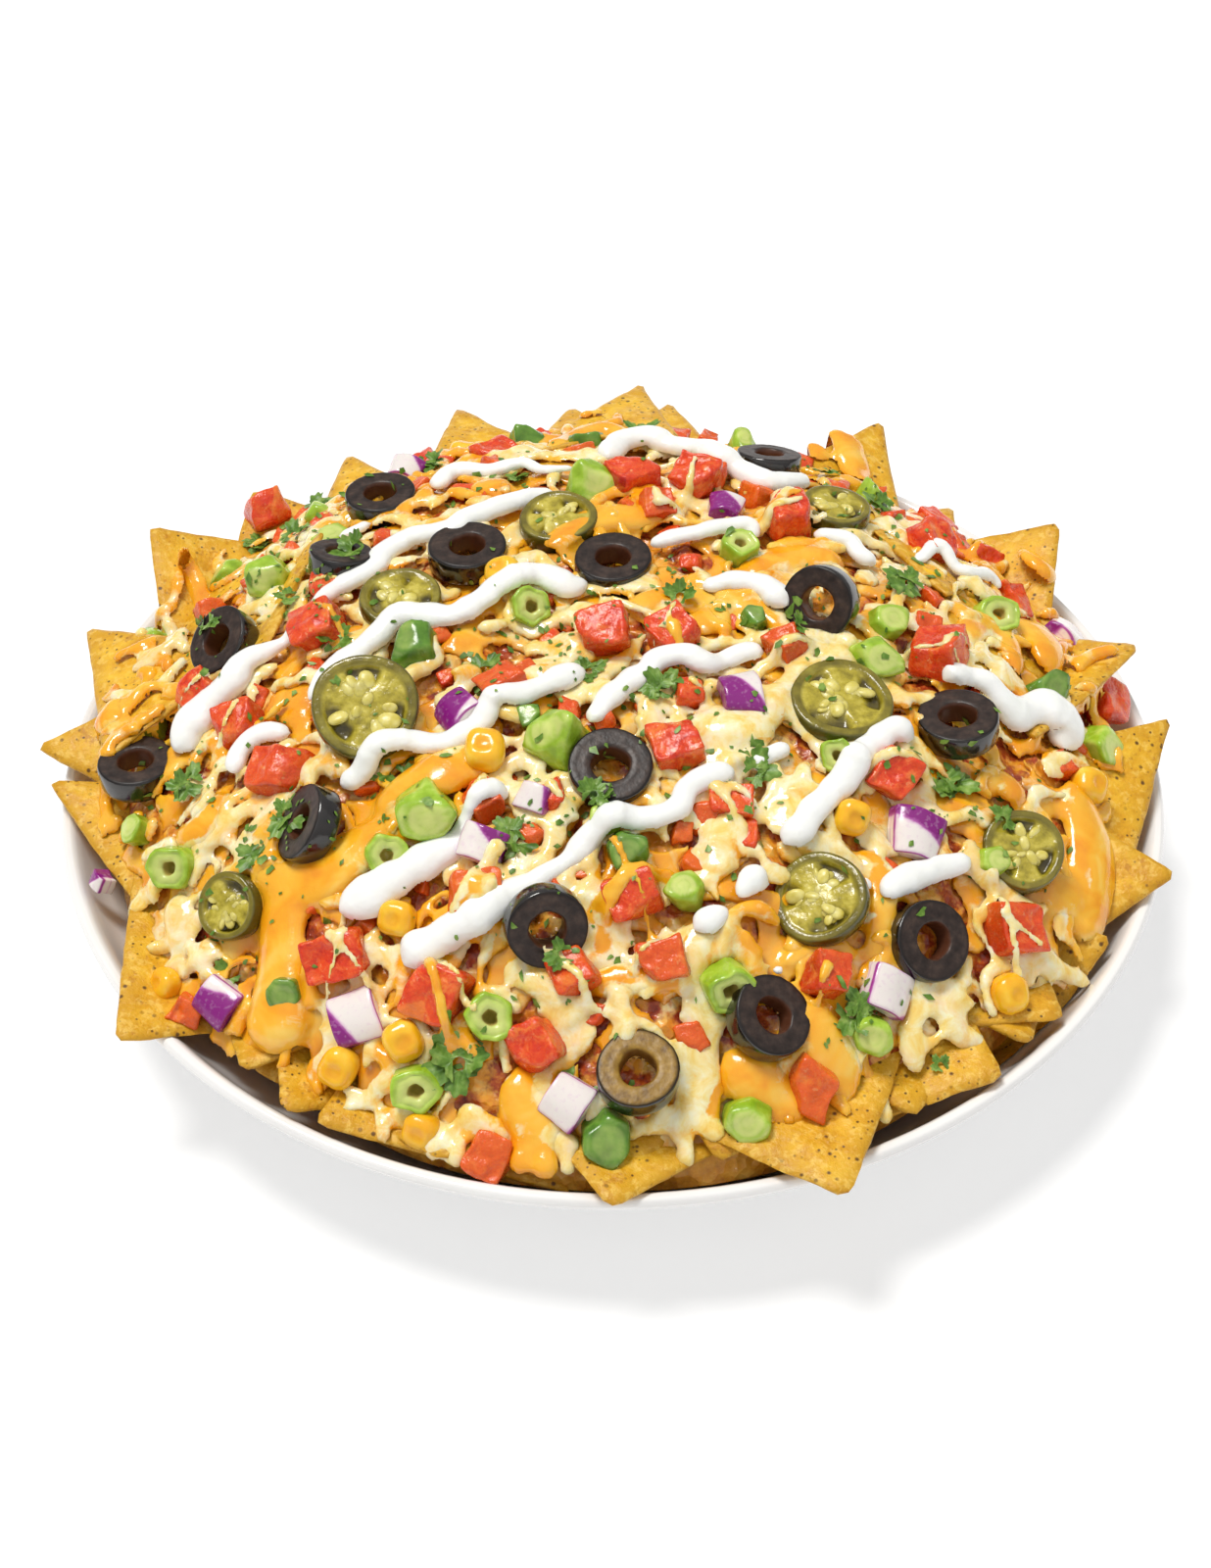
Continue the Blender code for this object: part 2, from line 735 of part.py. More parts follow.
def runs(folder):
    for first, last, *places in RIBBONS:
        path = [on_heap(across, down, 0.0008) for across, down in places]
        steps = len(path) - 1
        widths = [(first + (last - first) * k / steps) / 1000 for k in range(len(path))]
        ribbon(path, widths, lambda width: width * CREAM_HEIGHT, folder)
    for places in SAUCE_RUNS:
        path = [on_heap(across, down, 0.0004) for across, down, _ in places]
        widths = [width / 1000 for _, _, width in places]
        ribbon(path, widths, lambda width: SAUCE_HEIGHT, folder)


def scallion(centre, radius, hollow, draw, folder):
    half = radius * SCALLION_HALF_HEIGHT
    lean = Vector((draw.uniform(-0.3, 0.3), draw.uniform(-0.8, 0.0), 0))
    normal = (heap_normal(centre.x, centre.y) + lean).normalized()
    profile = [(0, -half), (radius * 0.94, -half), (radius, half), (0, half)]
    if hollow:
        bore = radius * SCALLION_BORE
        profile = profile[:3] + [(bore, half), (bore * 0.8, half * 0.2), (0, half * 0.2)]
    points, faces = turned(profile, SCALLION_SIDES)
    solid("scallion", points, faces, placed(centre, normal, draw.uniform(0, 1)), folder)


def kernel(centre, width, draw, folder):
    lean = Vector((draw.uniform(-0.3, 0.3), draw.uniform(-0.4, 0.1), 0))
    normal = (heap_normal(centre.x, centre.y) + lean).normalized()
    points, faces = box_points(width, width * 0.9, width * KERNEL_HEIGHT, width * 0.04, draw)
    made = solid("kernel", points, faces, placed(centre, normal, draw.uniform(0, 3)), folder)
    rounded(made, width * KERNEL_BEVEL)


def leaf(centre, width, draw, folder):
    points, faces = leaf_points(width, draw)
    normal = heap_normal(centre.x, centre.y)
    solid("leaf", points, faces, placed(centre, normal, draw.uniform(0, 6)), folder)


def small_pieces(folder):
    """Scallion rings, corn kernels and herb leaves, each partly sunk in the cheese."""
    draw = random.Random(11)
    for across, down, size, hollow in SCALLIONS:
        radius = size / 2200
        scallion(on_heap(across, down, radius * 0.31), radius, hollow, draw, folder)
    for across, down, size in KERNELS:
        width = size / 1150
        kernel(on_heap(across, down, width * 0.2), width, draw, folder)
    for across, down, size in LEAVES:
        leaf(on_heap(across, down, LEAF_LIFT), size / 1000, draw, folder)


def far_places(count, taken, draw):
    """Points on the far slope, clear of each other and of the pieces already there."""
    places = []
    while len(places) < count:
        angle = math.radians(draw.uniform(*FAR_AZIMUTHS))
        radius = draw.uniform(*FAR_RADII)
        x = radius * math.cos(angle)
        y = radius * math.sin(angle)
        spot = Vector((x, y, heap_height(x, y)))
        if all((spot - other).length > FAR_SPACING for other in taken):
            places.append(spot)
            taken.append(spot)
    return places


def far_pieces(folder, taken):
    draw = random.Random(23)
    for spot in far_places(FAR_SCALLIONS, taken, draw):
        scallion(spot + Vector((0, 0, FAR_LIFT)), FAR_SCALLION / 2, False, draw, folder)
    for spot in far_places(FAR_KERNELS, taken, draw):
        kernel(spot + Vector((0, 0, FAR_LIFT)), FAR_KERNEL, draw, folder)
    for spot in far_places(FAR_DICE, taken, draw):
        points, faces = box_points(FAR_DIE, FAR_DIE, FAR_DIE * DIE_HEIGHT, FAR_DIE * DIE_BEVEL, draw)
        normal = heap_normal(spot.x, spot.y)
        solid("die", points, faces, placed(spot, normal, draw.uniform(0, 3)), folder)
    for spot in far_places(FAR_LEAVES, taken, draw):
        leaf(spot + Vector((0, 0, LEAF_LIFT)), FAR_LEAF, draw, folder)


def leaf_points(width, draw):
    """A thin wavy leaf with lobes, domed so that its edge meets the heap."""
    count = 2 * LEAF_LOBES
    points = []
    for side in (0.5, -0.5):
        for i in range(count):
            angle = 2 * math.pi * i / count
            reach = width / 2 * (1.0 if i % 2 == 0 else LEAF_NOTCH)
            lift = LEAF_WAVE * math.sin(2 * angle) + side * LEAF_THICKNESS
            points.append(Vector((reach * math.cos(angle), reach * math.sin(angle), lift)))
        points.append(Vector((0, 0, LEAF_DOME + side * LEAF_THICKNESS)))
    faces = []
    for i in range(count):
        j = (i + 1) % count
        faces.append((i, j, count))
        faces.append((count + 1 + i, 2 * count + 1, count + 1 + j))
        faces.append((i, count + 1 + i, count + 1 + j, j))
    return points, faces


def edge_end(tip, across, down):
    """Where a chip's edge goes under the cheese, kept near the height of its corner so that no chip stands on end."""
    end = on_heap(across, down)
    height = min(max(end.z, tip.z - CHIP_DROP), tip.z + CHIP_CLIMB)
    return at_height(across, down, height)


def chips(folder):
    draw = random.Random(3)
    for tip_x, tip_y, over, ax, ay, bx, by in CHIPS:
        tip = at_height(tip_x, tip_y, RIM_HEIGHT + over / 1000)
        chip(tip, edge_end(tip, ax, ay), edge_end(tip, bx, by), CHIP_BEND * draw.uniform(*CHIP_BEND_RANGE), folder)


def fold_in(body, folder, operation):
    """Joins or cuts everything in folder with body and removes the folder's pieces."""
    change = body.modifiers.new(operation.lower(), "BOOLEAN")
    change.operation = operation
    change.operand_type = "COLLECTION"
    change.collection = folder
    change.solver = "EXACT"
    graph = bpy.context.evaluated_depsgraph_get()
    graph.update()
    mesh = bpy.data.meshes.new_from_object(body.evaluated_get(graph))
    body.modifiers.clear()
    body.data = mesh
    for piece in list(folder.objects):
        bpy.data.objects.remove(piece)
    bpy.data.collections.remove(folder)


def keep_largest(body):
    """Drops loose scraps and fills sealed hollows: only the largest outer surface stays."""
    shape = bmesh.new()
    shape.from_mesh(body.data)
    bmesh.ops.remove_doubles(shape, verts=shape.verts, dist=2e-6)
    bmesh.ops.dissolve_degenerate(shape, edges=shape.edges, dist=2e-6)
    bmesh.ops.dissolve_limit(shape, angle_limit=0.05, verts=shape.verts, edges=shape.edges)
    bmesh.ops.triangulate(shape, faces=shape.faces)
    left = set(shape.verts)
    groups = []
    while left:
        group = {left.pop()}
        edge = list(group)
        while edge:
            found = edge.pop()
            for link in found.link_edges:
                other = link.other_vert(found)
                if other in left:
                    left.discard(other)
                    group.add(other)
                    edge.append(other)
        groups.append(group)
    groups.sort(key=len, reverse=True)
    scraps = [vert for group in groups[1:] for vert in group]
    bmesh.ops.delete(shape, geom=scraps, context="VERTS")
    shape.to_mesh(body.data)
    shape.free()


def new_folder(name):
    folder = bpy.data.collections.new(name)
    bpy.context.scene.collection.children.link(folder)
    return folder


def heap():
    pieces = new_folder("pieces")
    cutters = new_folder("cutters")
    body = core()
    chips(pieces)
    runs(pieces)
    small_pieces(pieces)
    far_pieces(pieces, toppings(cutters))
    points, faces = turned(plate_profile(GAP), PLATE_SIDES)
    solid("cutter", points, faces, None, cutters)
    fold_in(body, pieces, "UNION")
    fold_in(body, cutters, "DIFFERENCE")
    keep_largest(body)
    dress(body)


def main():
    clear_scene()
    plate()
    heap()


main()
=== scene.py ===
# Looks of the loaded nachos on their plate: chips, melted cheese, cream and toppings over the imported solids.
# Metres, +Z up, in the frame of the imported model.

import itertools
import json
import math
import random

import bpy
import numpy as np
from mathutils import Matrix, Vector, noise
from mathutils.bvhtree import BVHTree
from mathutils.kdtree import KDTree

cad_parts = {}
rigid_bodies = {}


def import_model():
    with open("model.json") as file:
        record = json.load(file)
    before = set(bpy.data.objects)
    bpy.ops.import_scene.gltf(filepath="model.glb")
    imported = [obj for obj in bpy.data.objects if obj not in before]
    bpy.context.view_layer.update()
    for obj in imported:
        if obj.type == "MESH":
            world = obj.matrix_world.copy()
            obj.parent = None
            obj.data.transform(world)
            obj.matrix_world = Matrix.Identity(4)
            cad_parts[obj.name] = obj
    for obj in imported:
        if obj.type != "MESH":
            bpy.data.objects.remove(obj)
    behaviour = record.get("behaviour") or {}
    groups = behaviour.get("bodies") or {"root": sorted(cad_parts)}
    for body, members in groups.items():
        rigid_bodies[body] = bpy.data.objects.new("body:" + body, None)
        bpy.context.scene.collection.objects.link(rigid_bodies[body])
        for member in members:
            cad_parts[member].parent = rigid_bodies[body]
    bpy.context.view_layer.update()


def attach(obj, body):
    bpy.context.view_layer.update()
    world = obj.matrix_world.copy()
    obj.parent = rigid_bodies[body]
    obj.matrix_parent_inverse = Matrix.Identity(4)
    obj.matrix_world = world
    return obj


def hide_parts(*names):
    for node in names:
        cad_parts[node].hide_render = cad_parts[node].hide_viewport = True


# Vector noise starts from this, so each run makes the same shapes
noise.seed_set(7)

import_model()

# Plate and heap sizes, as in the solids
RIM_RADIUS = 0.132
RIM_HEIGHT = 0.032
FOOT_RADIUS = 0.062
FLOOR_TOP = 0.0048
HEAP_RADIUS = 0.1245
HEAP_SHIFT = 0.003
HEAP_RISE = 0.048
HEAP_POWER = 2.9
LUMP_RISE = 0.0012
EDGE_REACH = 0.965
SLOPE_STEP = 0.002
UNDERSIDE = [
    (0.0, 0.0),
    (FOOT_RADIUS, 0.0),
    (FOOT_RADIUS + 0.0015, 0.0022),
    (0.0880, 0.0030),
    (0.1060, 0.0072),
    (0.1195, 0.0166),
    (0.1288, 0.0282),
]
LIP = [
    (RIM_RADIUS - 0.0006, 0.0290),
    (RIM_RADIUS, 0.0305),
    (RIM_RADIUS - 0.0008, RIM_HEIGHT),
    (RIM_RADIUS - 0.0024, RIM_HEIGHT),
]
FOOD_SIDE = [
    (0.1284, 0.0309),
    (0.1225, 0.0224),
    (0.1120, 0.0134),
    (0.1000, 0.0078),
    (0.0850, FLOOR_TOP),
    (0.0, FLOOR_TOP - 0.0004),
]
PLATE_SIDES = 180

# Chip and topping sizes, as in the solids
CHIP_SIDE = 0.058
CHIP_THICKNESS = 0.0021
CHIP_CORNER = 0.0026
CHIP_ANGLES = (math.radians(50), math.radians(88))
CHIP_BEND = 0.0022
CHIP_TROUGH = 0.455
CHIP_DROP = 0.007
CHIP_CLIMB = 0.006
OLIVE_THICKNESS = 0.0062
OLIVE_HOLE = 0.44
SLICE_THICKNESS = 0.0048
SLICE_SINK = 0.22
DIE_HEIGHT = 0.82
DIE_JITTER = 0.07
DIE_SINK = 0.26
DIE_LEAN = 0.35
ONION_THICKNESS = 0.0042
ONION_BOW = 0.16
ONION_LIFT = 0.0026
ONION_LEAN = 0.4

# A chip's warp, bumps and blisters, how far its edge bulges, and its gap over the plate
CHIP_WARP = 0.0009
CHIP_BUMPS = 0.00055
CHIP_BLISTER = 0.0026
CHIP_BELT = 0.00035
CHIP_GAP = 0.0004

# The view of the photograph
VIEW_ELEVATION = math.radians(43.6)
VIEW_DISTANCE = 0.75
VIEW_FOCAL = 3190.0
VIEW_MIDDLE = (618.0, 800.0)
VIEW_TARGET = Vector((-0.0017, -0.0041, RIM_HEIGHT))
FRAME_HEIGHT = 1600.0
SENSOR_HEIGHT = 36
RAY_START = 0.55
RAY_END = 0.95
RAY_STEP = 0.001

# Each light: where it stands, its strength, its breadth in degrees and its tint
LIGHTS = [
    ("key", (-0.28, 0.17, 1.0), 2.25, 20, (1.0, 0.98, 0.945)),
    ("fill", (0.25, -0.75, 0.7), 0.42, 120, (1.0, 0.99, 0.98)),
]

# Each chip: view place of its free corner, height of that corner over the rim in mm,
# and the view places where its two edges go under the cheese
CHIPS = [
    (152, 537, 20, 243, 552, 165, 625),
    (88, 643, 10, 140, 648, 108, 735),
    (36, 763, 6, 107, 727, 105, 800),
    (50, 799, 4, 112, 797, 133, 912),
    (118, 1062, 4, 136, 905, 205, 1052),
    (287, 1136, 2.4, 285, 1085, 335, 1130),
    (319, 1145, 2.4, 345, 1112, 440, 1178),
    (622, 1233, 2.8, 573, 1168, 715, 1180),
    (866, 1221, 3.6, 720, 1158, 915, 1090),
    (1025, 1100, 2.6, 905, 1137, 1000, 1055),
    (1087, 1040, 2.4, 985, 1055, 1078, 1000),
    (1203, 891, 5, 1105, 835, 1128, 942),
    (1136, 955, 2.4, 1105, 950, 1112, 990),
    (1195, 733, 10, 1140, 765, 1130, 835),
    (1163, 660, 14, 1085, 645, 1140, 695),
    (1081, 532, 20, 985, 553, 1072, 622),
    (973, 519, 8, 890, 530, 975, 552),
    (900, 429, 20, 815, 478, 912, 515),
    (683, 414, 14, 655, 440, 715, 455),
    (654, 392, 20, 600, 428, 668, 425),
    (583, 417, 12, 560, 445, 607, 432),
    (467, 417, 14, 447, 462, 538, 455),
    (355, 464, 14, 333, 518, 398, 490),
    (258, 499, 14, 242, 560, 325, 520),
]

# Each olive ring: view place, diameter in mm, how squarely it faces the view (1 is square on),
# and the way its face leans in the view in degrees, 90 being up
OLIVES = [
    (389, 511, 17.4, 0.63, 95),
    (477, 565, 18.4, 0.66, 92),
    (348, 573, 15.5, 0.45, 85),
    (626, 577, 18.6, 0.66, 92),
    (784, 473, 16.6, 0.34, 84),
    (838, 614, 17.4, 0.9, 200),
    (229, 657, 17.6, 0.72, 150),
    (140, 785, 18.2, 0.64, 95),
    (316, 842, 18.0, 0.5, 158),
    (623, 786, 18.8, 0.88, 90),
    (978, 739, 18.8, 0.66, 95),
    (557, 944, 18.0, 0.92, 300),
    (946, 961, 18.6, 0.86, 18),
    (784, 1039, 18.2, 0.84, 40),
    (651, 1095, 18.0, 0.88, 92),
]
BROWN_OLIVE = 15

# Each pepper slice: view place, diameter in mm, facing, lean in degrees
PEPPERS = [
    (373, 722, 24.8, 0.97, 90),
    (409, 615, 19.6, 0.76, 92),
    (570, 533, 19.2, 0.7, 95),
    (852, 522, 17.4, 0.6, 80),
    (858, 718, 24.2, 0.76, 80),
    (838, 918, 21.4, 0.9, 130),
    (1043, 869, 19.4, 0.94, 60),
    (236, 925, 15.8, 0.88, 170),
]

# Each tomato die: view place and side in mm
TOMATOES = [
    (273, 520, 11.2),
    (325, 641, 11.6),
    (206, 710, 9.6),
    (283, 787, 11.0),
    (642, 488, 10.0),
    (708, 490, 10.4),
    (805, 528, 11.4),
    (618, 643, 11.2),
    (686, 647, 10.8),
    (803, 656, 9.6),
    (947, 553, 11.0),
    (960, 668, 12.4),
    (1126, 718, 11.6),
    (911, 790, 10.4),
    (1034, 947, 11.4),
    (826, 1110, 11.0),
    (678, 981, 10.2),
    (645, 913, 11.8),
    (446, 1011, 12.0),
    (545, 1066, 10.6),
    (344, 975, 11.6),
    (488, 912, 11.2),
    (691, 760, 10.4),
    (843, 994, 9.6),
]
SMALL_TOMATOES = [
    (242, 741, 10.5),
    (334, 599, 7.5),
    (670, 517, 8.0),
    (1001, 572, 8.5),
    (497, 1179, 10.0),
    (748, 821, 9.0),
    (510, 700, 10.0),
    (587, 995, 9.0),
    (490, 818, 8.5),
    (560, 811, 8.0),
    (702, 707, 7.0),
    (191, 1032, 6.5),
    (726, 486, 6.5),
]

# The dice, by number, and the bits, by view place, that are paler than the rest
PALE_TOMATOES = (16, 22)
PALE_BITS = ((497, 1179), (191, 1032))

# Each red onion piece: view place, width in mm, and the purple share of its face
ONIONS = [
    (223, 1022, 10.4, 0.8),
    (364, 1038, 12.0, 0.3),
    (579, 1124, 11.4, 0.05),
    (756, 708, 12.4, 0.7),
    (468, 727, 10.2, 0.9),
    (492, 862, 10.6, 0.4),
    (935, 852, 13.0, 0.5),
    (907, 1012, 11.6, 0.05),
    (1086, 650, 12.0, 0.12),
]
SMALL_ONIONS = [(414, 481, 9.0, 0.25), (740, 519, 9.0, 0.8), (104, 899, 5.0, 0.6), (545, 815, 8.0, 0.2)]

# Scallion slices: view place, width in mm, 1 where a hole shows, and 1 where it is dark green
SCALLIONS = [
    (157, 659, 10, 0, 0),
    (277, 592, 12, 0, 0),
    (150, 740, 11, 0, 0),
    (179, 885, 12, 1, 0),
    (604, 496, 13, 0, 0),
    (541, 621, 10, 1, 0),
    (424, 663, 11, 0, 1),
    (568, 755, 13, 0, 0),
    (436, 832, 14, 0, 0),
    (394, 873, 10, 1, 0),
    (640, 869, 10, 0, 1),
    (700, 910, 9, 0, 0),
    (753, 561, 10, 1, 0),
    (903, 637, 10, 0, 0),
    (890, 674, 11, 0, 0),
    (1013, 630, 11, 1, 0),
    (1065, 713, 11, 0, 1),
    (1122, 762, 11, 0, 0),
    (855, 773, 9, 1, 0),
    (740, 1004, 12, 1, 0),
    (886, 1054, 10, 0, 0),
    (762, 1143, 11, 0, 0),
    (620, 1158, 12, 0, 1),
    (426, 1109, 12, 1, 0),
    (500, 1038, 12, 1, 0),
    (757, 458, 8, 0, 0),
    (293, 1016, 9, 0, 1),
    (326, 527, 7, 0, 0),
    (1010, 880, 8, 0, 0),
    (621, 837, 8, 0, 0),
    (541, 731, 6, 0, 1),
    (770, 632, 7, 0, 1),
    (140, 847, 8, 0, 0),
]

# Corn kernels and herb leaves: view place and width in mm
KERNELS = [
    (347, 1089, 11),
    (412, 1062, 11),
    (1029, 1014, 11),
    (869, 834, 10),
    (1110, 802, 11),
    (495, 767, 12),
    (406, 937, 10),
    (170, 1004, 9),
    (153, 698, 10),
    (514, 586, 10),
    (430, 1153, 10),
]
LEAVES = [
    (263, 557, 9),
    (439, 473, 9),
    (495, 685, 10),
    (600, 687, 8),
    (573, 645, 7),
    (678, 703, 10),
    (694, 610, 7),
    (768, 786, 10),
    (404, 789, 10),
    (530, 859, 11),
    (196, 801, 10),
    (469, 1084, 14),
    (870, 1033, 11),
    (969, 797, 12),
    (927, 599, 11),
    (894, 515, 8),
    (362, 561, 11),
    (342, 655, 9),
    (615, 808, 9),
    (292, 834, 10),
    (574, 974, 7),
    (1021, 838, 7),
    (524, 494, 8),
    (295, 611, 7),
    (213, 637, 7),
    (236, 995, 7),
    (817, 641, 5),
    (959, 1088, 5),
    (262, 874, 8),
]

# Each cream ribbon: width in view pixels at each place, with the place
RIBBONS = [
    [(447, 498, 20), (463, 486, 20), (504, 482, 18), (535, 476, 14), (555, 480, 12), (586, 479, 8)],
    [(619, 472, 22), (631, 456, 24), (658, 452, 26), (682, 460, 26), (713, 462, 26), (740, 472, 26),
     (760, 486, 26), (785, 496, 26), (823, 496, 18)],
    [(565, 507, 16), (530, 513, 20), (480, 530, 22), (460, 545, 24), (420, 553, 22), (403, 560, 24),
     (368, 592, 24), (333, 613, 18), (309, 634, 8), (295, 652, 12), (281, 662, 16), (260, 676, 26),
     (238, 704, 34), (210, 729, 36), (193, 753, 38), (194, 768, 36)],
    [(238, 792, 20), (246, 767, 20), (270, 750, 20), (295, 750, 16)],
    [(318, 717, 16), (340, 690, 24), (380, 660, 26), (412, 637, 28), (460, 631, 28), (492, 615, 26),
     (523, 596, 26), (555, 590, 24), (578, 602, 26), (600, 599, 18)],
    [(350, 806, 24), (372, 789, 24), (391, 773, 22), (423, 763, 24), (455, 760, 24), (484, 744, 24),
     (503, 722, 24), (529, 712, 22), (554, 703, 24), (580, 693, 26), (599, 689, 20)],
    [(605, 738, 18), (618, 719, 24), (637, 706, 24), (659, 693, 22), (669, 681, 22), (698, 673, 24),
     (720, 681, 22), (739, 677, 20), (761, 668, 22), (780, 668, 18)],
    [(350, 934, 42), (372, 922, 40), (400, 903, 36), (430, 886, 34), (452, 872, 32), (465, 861, 24),
     (480, 838, 14), (490, 824, 18), (509, 814, 20), (522, 811, 14)],
    [(414, 990, 36), (430, 974, 38), (460, 960, 36), (484, 952, 34), (503, 939, 34), (522, 923, 34),
     (548, 901, 22), (573, 885, 20), (592, 869, 24), (611, 853, 24), (637, 840, 26), (669, 837, 24),
     (694, 827, 24), (701, 808, 22), (717, 799, 26), (749, 792, 22)],
    [(770, 788, 14), (781, 776, 18), (806, 763, 14)],
    [(800, 863, 20), (817, 849, 26), (834, 826, 26), (857, 805, 26), (878, 782, 26), (898, 758, 26),
     (915, 751, 26), (932, 758, 18)],
    [(755, 917, 14), (768, 900, 32), (784, 906, 22)],
    [(712, 955, 24), (723, 944, 28), (742, 931, 14)],
    [(870, 923, 12), (886, 907, 14)],
    [(899, 920, 20), (924, 901, 26), (953, 891, 24), (988, 882, 20)],
    [(963, 698, 22), (984, 694, 24), (1007, 703, 26), (1023, 722, 28), (1036, 732, 32), (1057, 733, 36),
     (1080, 747, 42), (1086, 765, 36)],
    [(718, 605, 18), (747, 599, 22), (772, 599, 24), (790, 611, 28), (802, 624, 26)],
    [(664, 558, 14), (686, 551, 18), (715, 545, 18), (740, 539, 18), (763, 539, 18), (771, 551, 12)],
    [(830, 548, 14), (865, 555, 20), (876, 568, 20), (892, 578, 14)],
    [(934, 578, 12), (957, 570, 15), (972, 580, 14), (991, 587, 16), (1010, 591, 16), (1022, 603, 12)],
    [(788, 992, 10), (798, 990, 10)],
    [(347, 551, 12), (378, 535, 14)],
]

# Orange cheese sauce runs: view places with the width there in mm
SAUCE_RUNS = [
    [(400, 846, 9), (372, 866, 13), (330, 893, 17), (295, 925, 13), (286, 985, 13), (283, 1040, 16),
     (281, 1074, 16)],
    [(256, 893, 5), (290, 905, 12), (305, 925, 11)],
    [(1090, 800, 9), (1104, 836, 13), (1112, 872, 15), (1112, 918, 14), (1108, 966, 8)],
    [(1060, 905, 9), (1085, 915, 12), (1108, 925, 12)],
    [(815, 1020, 8), (832, 1056, 12), (850, 1090, 13), (869, 1126, 10)],
    [(740, 1078, 10), (778, 1112, 13), (818, 1154, 9)],
    [(530, 1095, 9), (535, 1125, 12), (548, 1160, 12), (545, 1186, 8)],
    [(185, 560, 4), (192, 590, 7), (205, 618, 8)],
    [(112, 740, 10), (118, 765, 12), (130, 750, 9)],
    [(1040, 585, 9), (1062, 600, 12), (1068, 625, 9)],
    [(830, 480, 7), (852, 486, 12), (880, 492, 9)],
    [(1030, 640, 9), (1060, 655, 13), (1072, 690, 9)],
    [(800, 985, 4), (840, 968, 6), (862, 972, 5), (862, 984, 4)],
    [(235, 815, 8), (205, 850, 9), (180, 858, 6)],
    [(500, 770, 8), (455, 790, 12), (415, 805, 9), (385, 835, 8)],
    [(640, 620, 5), (700, 612, 9), (745, 640, 7)],
    [(560, 560, 7), (600, 535, 10), (650, 530, 8), (700, 520, 5)],
    [(760, 590, 8), (800, 575, 12), (860, 575, 8)],
    [(560, 462, 5), (585, 452, 7), (620, 446, 6), (660, 450, 4)],
    [(480, 500, 8), (520, 500, 10)],
    [(950, 700, 6), (1010, 640, 9), (1040, 690, 6)],
    [(1000, 790, 6), (1020, 800, 8), (1045, 820, 7)],
    [(880, 870, 6), (900, 905, 8), (895, 980, 6)],
    [(600, 1010, 5), (640, 1000, 8), (690, 1010, 6)],
]

# Runs of white cheese, listed in the same way
CREAMY_RUNS = [
    [(182, 915, 8), (184, 940, 9), (187, 972, 8)],
    [(232, 885, 6), (240, 915, 5)],
    [(352, 970, 5), (362, 990, 6), (378, 1012, 4)],
    [(720, 940, 6), (700, 985, 9), (650, 1010, 6)],
    [(745, 830, 8), (735, 860, 10), (728, 900, 7)],
    [(530, 800, 8), (540, 830, 6)],
    [(700, 740, 7), (740, 745, 11), (790, 750, 8)],
    [(800, 700, 6), (780, 730, 9), (740, 760, 8)],
    [(525, 998, 5), (560, 1012, 7), (600, 1040, 7)],
    [(560, 1090, 7), (540, 1150, 8), (590, 1180, 6)],
    [(470, 1130, 6), (490, 1150, 7), (520, 1165, 5)],
    [(300, 755, 5), (285, 775, 5), (290, 800, 4)],
    [(620, 625, 4), (625, 650, 4)],
    [(1060, 960, 4), (1080, 990, 5), (1112, 1004, 4)],
    [(1010, 975, 5), (1060, 985, 5), (1100, 1000, 3)],
    [(925, 1040, 5), (930, 1075, 6), (940, 1095, 4)],
    [(960, 1010, 6), (975, 1050, 7), (1000, 1070, 4)],
    [(705, 1140, 6), (740, 1165, 5)],
    [(690, 1060, 6), (720, 1100, 8), (700, 1150, 5)],
]

# How orange the melted cheese is at view places, from 0 for white to 1
GOLD_MARKS = [
    (195, 590, 1), (115, 760, 1), (160, 790, 1), (300, 905, 1), (285, 1000, 1), (281, 1070, 1), (330, 880, 1),
    (420, 790, 1), (410, 480, 1), (380, 530, 1), (560, 440, 1), (610, 430, 1), (680, 440, 0.8), (850, 490, 1),
    (890, 500, 1), (1060, 600, 1), (1060, 660, 1), (1085, 700, 0.8), (1100, 870, 1), (1108, 950, 1),
    (1090, 900, 1), (700, 615, 1), (820, 570, 1), (760, 590, 0.9), (600, 530, 1), (650, 530, 0.8),
    (480, 775, 1), (835, 1070, 1), (865, 1120, 1), (800, 1150, 1), (750, 1085, 1), (545, 1170, 0.9),
    (530, 1110, 0.9), (620, 1020, 0.5), (835, 970, 0.8), (760, 950, 0.7), (900, 960, 0.7), (990, 790, 0.8),
    (700, 960, 0.6), (470, 500, 0.8), (230, 830, 0.7), (640, 590, 0.6), (590, 860, 0.6), (470, 960, 0.7),
    (1010, 640, 0.6), (440, 590, 0.5), (700, 570, 0), (875, 578, 0), (905, 592, 0), (660, 600, 0.2),
    (740, 560, 0), (420, 700, 0), (370, 690, 0.2), (440, 660, 0.2), (290, 720, 0.3), (250, 640, 0.1),
    (620, 700, 0.1), (560, 680, 0.2), (680, 730, 0), (760, 740, 0), (800, 760, 0), (760, 850, 0),
    (720, 880, 0.1), (560, 860, 0.2), (520, 800, 0), (360, 1010, 0.1), (600, 960, 0), (640, 960, 0),
    (560, 1000, 0.1), (690, 990, 0), (700, 1060, 0), (640, 1140, 0.1), (600, 1190, 0.1), (470, 1130, 0),
    (190, 940, 0), (180, 900, 0.1), (230, 880, 0.1), (880, 1000, 0.1), (930, 1060, 0), (980, 1010, 0),
    (1060, 985, 0), (930, 700, 0.2), (890, 600, 0.1), (980, 610, 0.1), (1010, 690, 0.3), (870, 950, 0.2),
    (900, 850, 0), (1000, 900, 0.1), (340, 560, 0.1), (300, 560, 0), (500, 650, 0.1), (1050, 800, 0.2),
    (520, 560, 0.3), (700, 480, 0.2), (620, 480, 0.1), (180, 690, 0.5),
]

